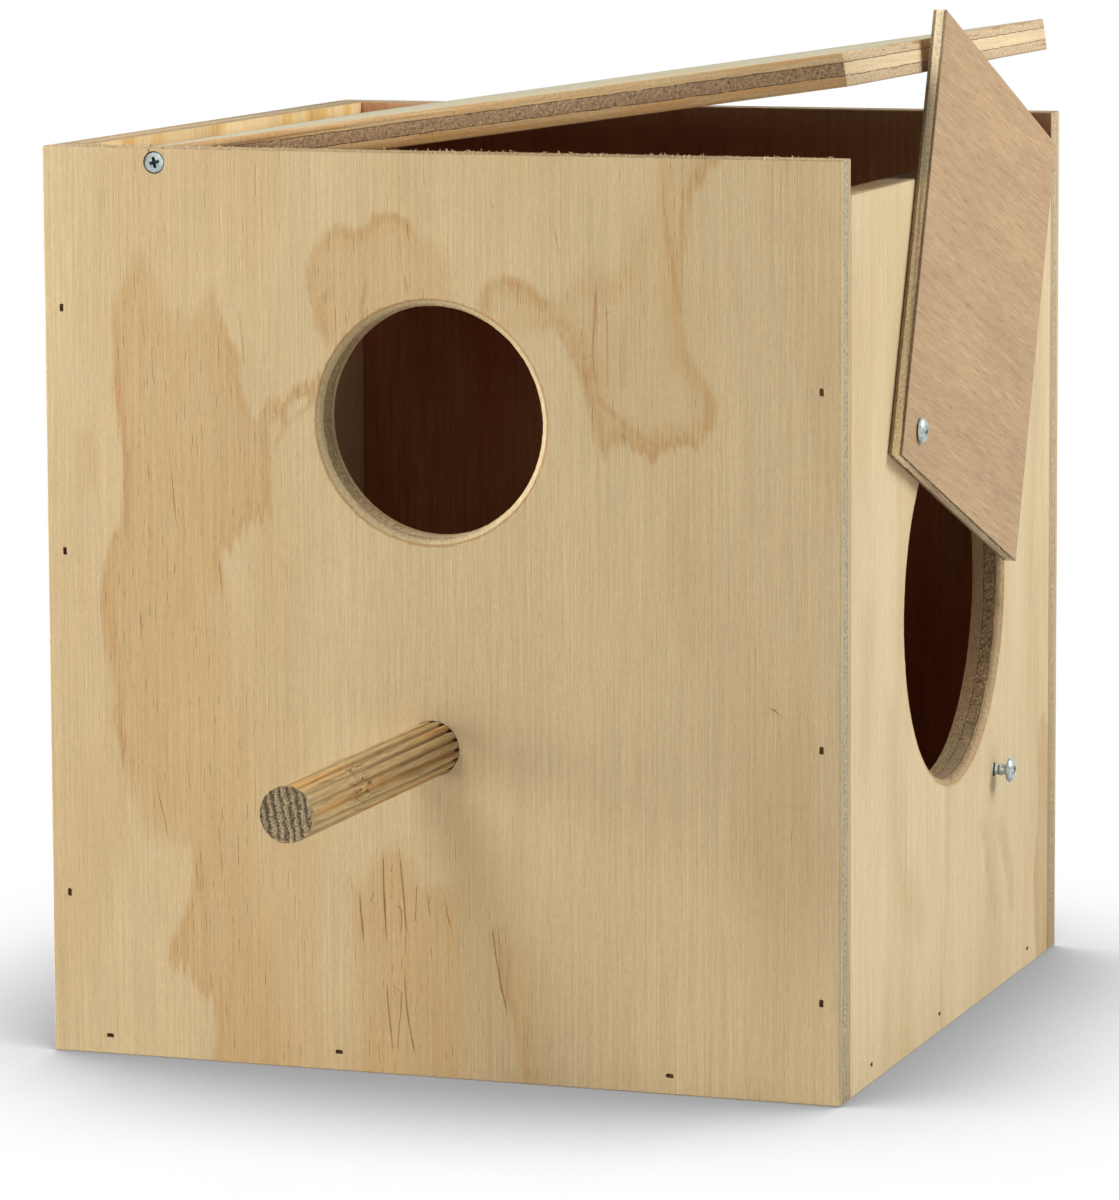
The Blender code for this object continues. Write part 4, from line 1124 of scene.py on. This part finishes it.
@dataclass
class Perch:
    """The fluted dowel through the front panel."""

    ridges: int = 16
    points: int = 8
    groove_depth: float = 0.75 * MM
    groove_share: float = 0.50
    end_groove: float = 0.30
    step: float = 1.5 * MM
    end_inset: float = 0.45 * MM
    end_swell: float = 0.35 * MM
    knot: Vector = Vector((6.5, 36.0, 2.0)) * MM
    finish: DowelWood = DowelWood()

    def build(self) -> list[bpy.types.Object]:
        """Make the perch: a fluted circle drawn out along its length."""
        low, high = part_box("perch")
        centre = (low + high) / 2
        radius = (high.x - low.x) / 2
        count = self.ridges * self.points
        bm = bmesh.new()
        around = Matrix.Translation((centre.x, high.y, centre.z)) @ Matrix.Rotation(math.radians(90), 4, "X")
        circle = bmesh.ops.create_circle(bm, cap_ends=True, segments=count, radius=radius, matrix=around)
        hoop = list(dict.fromkeys(edge for vert in circle["verts"] for edge in vert.link_edges))
        steps = round((high.y - low.y) / self.step)
        for _ in range(steps):
            drawn = bmesh.ops.extrude_edge_only(bm, edges=hoop)["geom"]
            moved = [item for item in drawn if isinstance(item, bmesh.types.BMVert)]
            bmesh.ops.translate(bm, vec=(0, -(high.y - low.y) / steps, 0), verts=moved)
            hoop = [item for item in drawn if isinstance(item, bmesh.types.BMEdge)
                    and all(vert in moved for vert in item.verts)]
        end = bmesh.ops.contextual_create(bm, geom=hoop)["faces"]
        bmesh.ops.inset_region(bm, faces=end, thickness=self.end_inset, depth=self.end_swell,
                               use_even_offset=False)
        bmesh.ops.recalc_face_normals(bm, faces=bm.faces[:])
        groove = self.flute(bm, centre, radius, low.y, high.y)
        piece = finish_piece("perch_wood", bm, BODY_BOX, "perch")
        note(piece, "groove", groove)
        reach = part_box("front_panel")[0].y - low.y
        self.finish.dress(piece, Vector((centre.x, low.y, centre.z)), self.knot, reach)
        return [piece]

    def flute(self, bm: bmesh.types.BMesh, centre: Vector, radius: float, near: float, far: float) -> list[float]:
        """Press the grooves into the dowel, and return how deep each point is in one."""
        deep = []
        for vert in bm.verts:
            away = Vector((vert.co.x - centre.x, vert.co.z - centre.z))
            along = (vert.co.y - near) / (far - near)
            turn = math.atan2(away.y, away.x) / math.tau * self.ridges
            wobble = 0.12 * noise.noise(Vector((turn * 0.8, vert.co.y / MM * 0.03, 3)))
            phase = abs((turn + wobble) % 1.0 - 0.5)
            share = max(0.0, 1 - (0.5 - phase) / (self.groove_share / 2))
            depth = self.groove_depth * (self.end_groove + (1 - self.end_groove) * min(1.0, along * 1.6))
            rough = noise.noise(Vector((vert.co.x, vert.co.y * 0.2, vert.co.z)) / MM * 0.9) * 0.05 * MM
            deep.append(share)
            if away.length > radius * 0.8:
                away.length = min(away.length, away.length - depth * share - abs(rough))
                vert.co.x, vert.co.z = centre.x + away.x, centre.z + away.y
        return deep


class HeadShape(Enum):
    """The two kinds of screw."""

    PAN = "rounded head that stands proud"
    COUNTERSUNK = "flat head let into the wood"


@dataclass
class Screw:
    """A cross-recess wood screw."""

    node: str
    shape: HeadShape
    out: Vector
    turn_degrees: float
    thread_from: float
    head_height: float = 1.9 * MM
    thread_radius: float = 1.75 * MM
    root_radius: float = 1.45 * MM
    pitch: float = 1.35 * MM
    recess_reach: float = 1.75 * MM
    recess_width: float = 0.95 * MM
    recess_depth: float = 1.3 * MM
    tip: tuple[float, float] = (0.5 * MM, 1.2 * MM)
    thread_starts: float = 2.2 * MM
    rim_share: float = 0.18
    crown_share: float = 0.22
    crown_degrees: tuple[int, ...] = (20, 35, 50, 65, 80)
    steps: int = 48
    finish: Steel = Steel()

    def profile(self, length: float, head_radius: float) -> list[tuple[float, float]]:
        """Return the screw's outline from its tip to the middle of its head, as radius and height."""
        under = length - self.head_height
        line = [(0.0, 0.0), self.tip]
        height = self.thread_starts
        while height + self.pitch < under - self.thread_from:
            line += [(self.root_radius, height), (self.thread_radius, height + 0.5 * self.pitch)]
            height += self.pitch
        line += [(self.root_radius, height)]
        if self.shape is HeadShape.PAN:
            line += [(self.root_radius * 1.1, under), (head_radius * 0.93, under),
                     (head_radius, under + self.rim_share * self.head_height)]
            for degrees in self.crown_degrees:
                out, up = math.cos(math.radians(degrees)), math.sin(math.radians(degrees))
                line.append((head_radius * (self.crown_share + (1 - self.crown_share) * out),
                             under + self.head_height * (self.rim_share + (1 - self.rim_share) * up)))
            line.append((0.0, length))
        else:
            line += [(self.root_radius * 1.1, under - 0.8 * MM), (head_radius, length - 0.25 * MM),
                     (head_radius * 0.97, length - 0.05 * MM), (head_radius * 0.93, length), (0.0, length)]
        return line

    def build(self) -> bpy.types.Object:
        """Spin the screw's outline and cut the cross into its head."""
        low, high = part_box(self.node)
        middle = (low + high) / 2
        length = abs((high - low).dot(self.out))
        radius = (high.z - low.z) / 2
        tip = middle - self.out * length / 2
        bm = bmesh.new()
        verts = [bmesh.ops.create_vert(bm, co=(r, 0, h))["vert"][0] for r, h in self.profile(length, radius)]
        edges = [bm.edges.new(pair) for pair in zip(verts, verts[1:])]
        bmesh.ops.spin(bm, geom=[*verts, *edges], cent=(0, 0, 0), axis=(0, 0, 1), angle=math.tau,
                       steps=self.steps, use_merge=True)
        bmesh.ops.remove_doubles(bm, verts=bm.verts[:], dist=SAME)
        bmesh.ops.recalc_face_normals(bm, faces=bm.faces[:])
        turned = put_in_scene(self.node + "_turned", bm)
        cutters = [self.cutter(length, quarter) for quarter in (0, 90)]
        for number, cutter in enumerate(cutters):
            cut = turned.modifiers.new(f"cross_{number}", "BOOLEAN")
            cut.operation, cut.solver, cut.object = "DIFFERENCE", "EXACT", cutter
        bpy.context.view_layer.update()
        shaped = bpy.data.meshes.new_from_object(turned.evaluated_get(bpy.context.evaluated_depsgraph_get()))
        for spare in (turned, *cutters):
            bpy.data.objects.remove(spare)
        bm = bmesh.new()
        bm.from_mesh(shaped)
        # Mark the cross recess, where the finish paints shade.
        recess = [1.0 if math.hypot(vert.co.x, vert.co.y) < self.recess_reach * 1.02
                  and vert.co.z < length - 0.25 * MM and vert.co.z > length - self.recess_depth - 0.2 * MM else 0.0
                  for vert in bm.verts]
        stand = self.out.to_track_quat("Z", "Y").to_matrix().to_4x4()
        bmesh.ops.transform(bm, matrix=Matrix.Translation(tip) @ stand, verts=bm.verts[:])
        piece = finish_piece(self.node + "_steel", bm, BODY_BOX, self.node)
        note(piece, "recess", recess)
        self.finish.dress(piece)
        return piece

    def cutter(self, length: float, quarter: float) -> bpy.types.Object:
        """Return one tapered bar of the cross that is cut into the head."""
        bm = bmesh.new()
        turn = Matrix.Rotation(math.radians(self.turn_degrees + quarter), 4, "Z")
        made = bmesh.ops.create_cube(bm, size=1.0)
        for vert in made["verts"]:
            lower = vert.co.z < 0
            vert.co.x *= self.recess_reach * (0.9 if lower else 2.0)
            vert.co.y *= self.recess_width * (0.6 if lower else 1.0)
            vert.co.z = length + (-self.recess_depth if lower else 0.4 * MM)
        bmesh.ops.transform(bm, matrix=turn, verts=bm.verts[:])
        return put_in_scene("cross_bar", bm)


@dataclass
class Fastenings:
    """The four screws and the brads."""

    # The brads' wire is coloured dark brown so that their heads read as the shade in their slots: painted shade.
    wire: Steel = Steel(colour=(0.20, 0.115, 0.055), dull=(0.10, 0.055, 0.025), roughness=0.6)

    def build(self) -> list[bpy.types.Object]:
        """Make the screws, and dress the brads, which hardly show."""
        front, back, right = Vector((0, -1, 0)), Vector((0, 1, 0)), Vector((1, 0, 0))
        screws = [
            Screw("lid_screw_front", HeadShape.COUNTERSUNK, front, 12, 14 * MM),
            Screw("lid_screw_back", HeadShape.COUNTERSUNK, back, 40, 14 * MM),
            Screw("door_pivot_screw", HeadShape.PAN, right, 25, 0.3 * MM),
            Screw("door_stop_screw", HeadShape.PAN, right, 38, 0.3 * MM),
        ]
        pieces = [screw.build() for screw in screws]
        for name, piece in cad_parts.items():
            if "brad" in name:
                self.wire.dress(piece)
                pieces.append(piece)
        return pieces


@dataclass
class Studio:
    """The floor, the lamps and the camera."""

    camera_place: Place = (0.54615, -1.57340, 0.35307)
    yaw_degrees: float = 19.276
    pitch_degrees: float = 6.736
    roll_degrees: float = -0.2534
    lens_mm: float = 176.53
    lens_shift: float = -0.12
    shadow_reach: float = 0.12
    shadow_samples: int = 24
    sensor_mm: float = 36.0
    clip: tuple[float, float] = (0.05, 100.0)
    floor_reach: float = 30.0
    floor_drop: float = 0.2 * MM
    room_light: float = 0.02

    def camera(self) -> None:
        """Set the camera where the photograph was taken from."""
        yaw, pitch, roll = (math.radians(angle) for angle in
                            (self.yaw_degrees, self.pitch_degrees, self.roll_degrees))
        ahead = Vector((-math.sin(yaw) * math.cos(pitch), math.cos(yaw) * math.cos(pitch), -math.sin(pitch)))
        level = Vector((math.cos(yaw), math.sin(yaw), 0))
        over = level.cross(ahead)
        right = level * math.cos(roll) + over * math.sin(roll)
        up = over * math.cos(roll) - level * math.sin(roll)
        lens = bpy.data.cameras.new("camera")
        lens.lens = self.lens_mm
        lens.sensor_width = self.sensor_mm
        lens.shift_y = self.lens_shift
        lens.clip_start, lens.clip_end = self.clip
        camera = put_in_scene("camera", lens)
        turn = Matrix((right, up, -ahead)).transposed().to_4x4()
        camera.matrix_world = Matrix.Translation(self.camera_place) @ turn
        bpy.context.scene.camera = camera

    def floor(self) -> None:
        """Lay a pale floor, which the camera sees as a glow dimmed by ambient occlusion near the box: a painted soft
        shadow.
        """
        bm = bmesh.new()
        bmesh.ops.create_grid(bm, x_segments=1, y_segments=1, size=self.floor_reach)
        bmesh.ops.translate(bm, vec=(0, 0, -self.floor_drop), verts=bm.verts[:])
        floor = put_in_scene("floor", bm)
        n = Nodes.material("floor_paper")
        for name, value in (("Base Color", (0.82, 0.82, 0.82)), ("Roughness", 0.9), ("Specular IOR Level", 0.1)):
            n.feed(n.shader.inputs[name], value)
        # Painted shadow: the glow's strength follows ambient occlusion, darkening the floor near the box; other rays
        # see the plain diffuse floor.
        open_share = n.add("ShaderNodeAmbientOcclusion", {"Distance": self.shadow_reach}, "AO",
                           samples=self.shadow_samples)
        painted_shadow_glow = n.add("ShaderNodeEmission", {"Strength": n.ramp(open_share, 0.42, 1.0, 0.34, 1.0)})
        blend = n.add("ShaderNodeMixShader", {0: n.seen(), 1: n.shader.outputs[0], 2: painted_shadow_glow})
        n.feed(n.tree.nodes["Material Output"].inputs[0], blend)
        floor.data.materials.append(n.owner)

    def lamp(self, name: str, place: Place, target: Place, size: tuple[float, float], watts: float) -> None:
        """Hang one soft box.

        Args:
            name: the lamp's name.
            place: where it hangs.
            target: what it points at.
            size: how wide and how tall it is.
            watts: its power.
        """
        light = bpy.data.lights.new(name, "AREA")
        light.shape = "RECTANGLE"
        light.size, light.size_y = size
        light.energy = watts
        lamp = put_in_scene(name, light)
        lamp.location = place
        lamp.rotation_euler = (Vector(target) - Vector(place)).to_track_quat("-Z", "Y").to_euler()

    def lamps(self) -> None:
        """Hang the lamps and light the room."""
        self.lamp("left_strip", (-0.71, -0.22, 0.16), (0, -0.05, 0.12), (0.25, 0.38), 6.3)
        self.lamp("overhead", (-0.22, -0.42, 0.85), (0, 0, 0.12), (0.4, 0.4), 4.6)
        self.lamp("fill", (0.10, -1.55, 0.60), (0, 0, 0.12), (0.8, 0.8), 3.3)
        self.lamp("side", (0.90, 0.22, 0.75), (0.05, 0, 0.12), (0.6, 0.6), 9.6)
        world = bpy.data.worlds.new("room")
        bpy.context.scene.world = world
        n = Nodes(world, "Background")
        n.feed(n.shader.inputs["Color"], (1, 1, 1))
        level = n.add("ShaderNodeMapRange", {"Value": n.seen(), "To Min": self.room_light, "To Max": 1.0})
        n.feed(n.shader.inputs["Strength"], level)

    def build(self) -> None:
        """Set up the stage."""
        self.camera()
        self.floor()
        self.lamps()
        bpy.context.scene.view_settings.view_transform = "Standard"


def main() -> None:
    """Build the stage and the box, and report each piece."""
    Studio().build()
    for part in (Walls(), Lid(), Door(), Perch(), Fastenings()):
        for piece in part.build():
            log.info("%s: %s", type(part).__name__, piece.name)


if __name__ == "__main__":
    main()
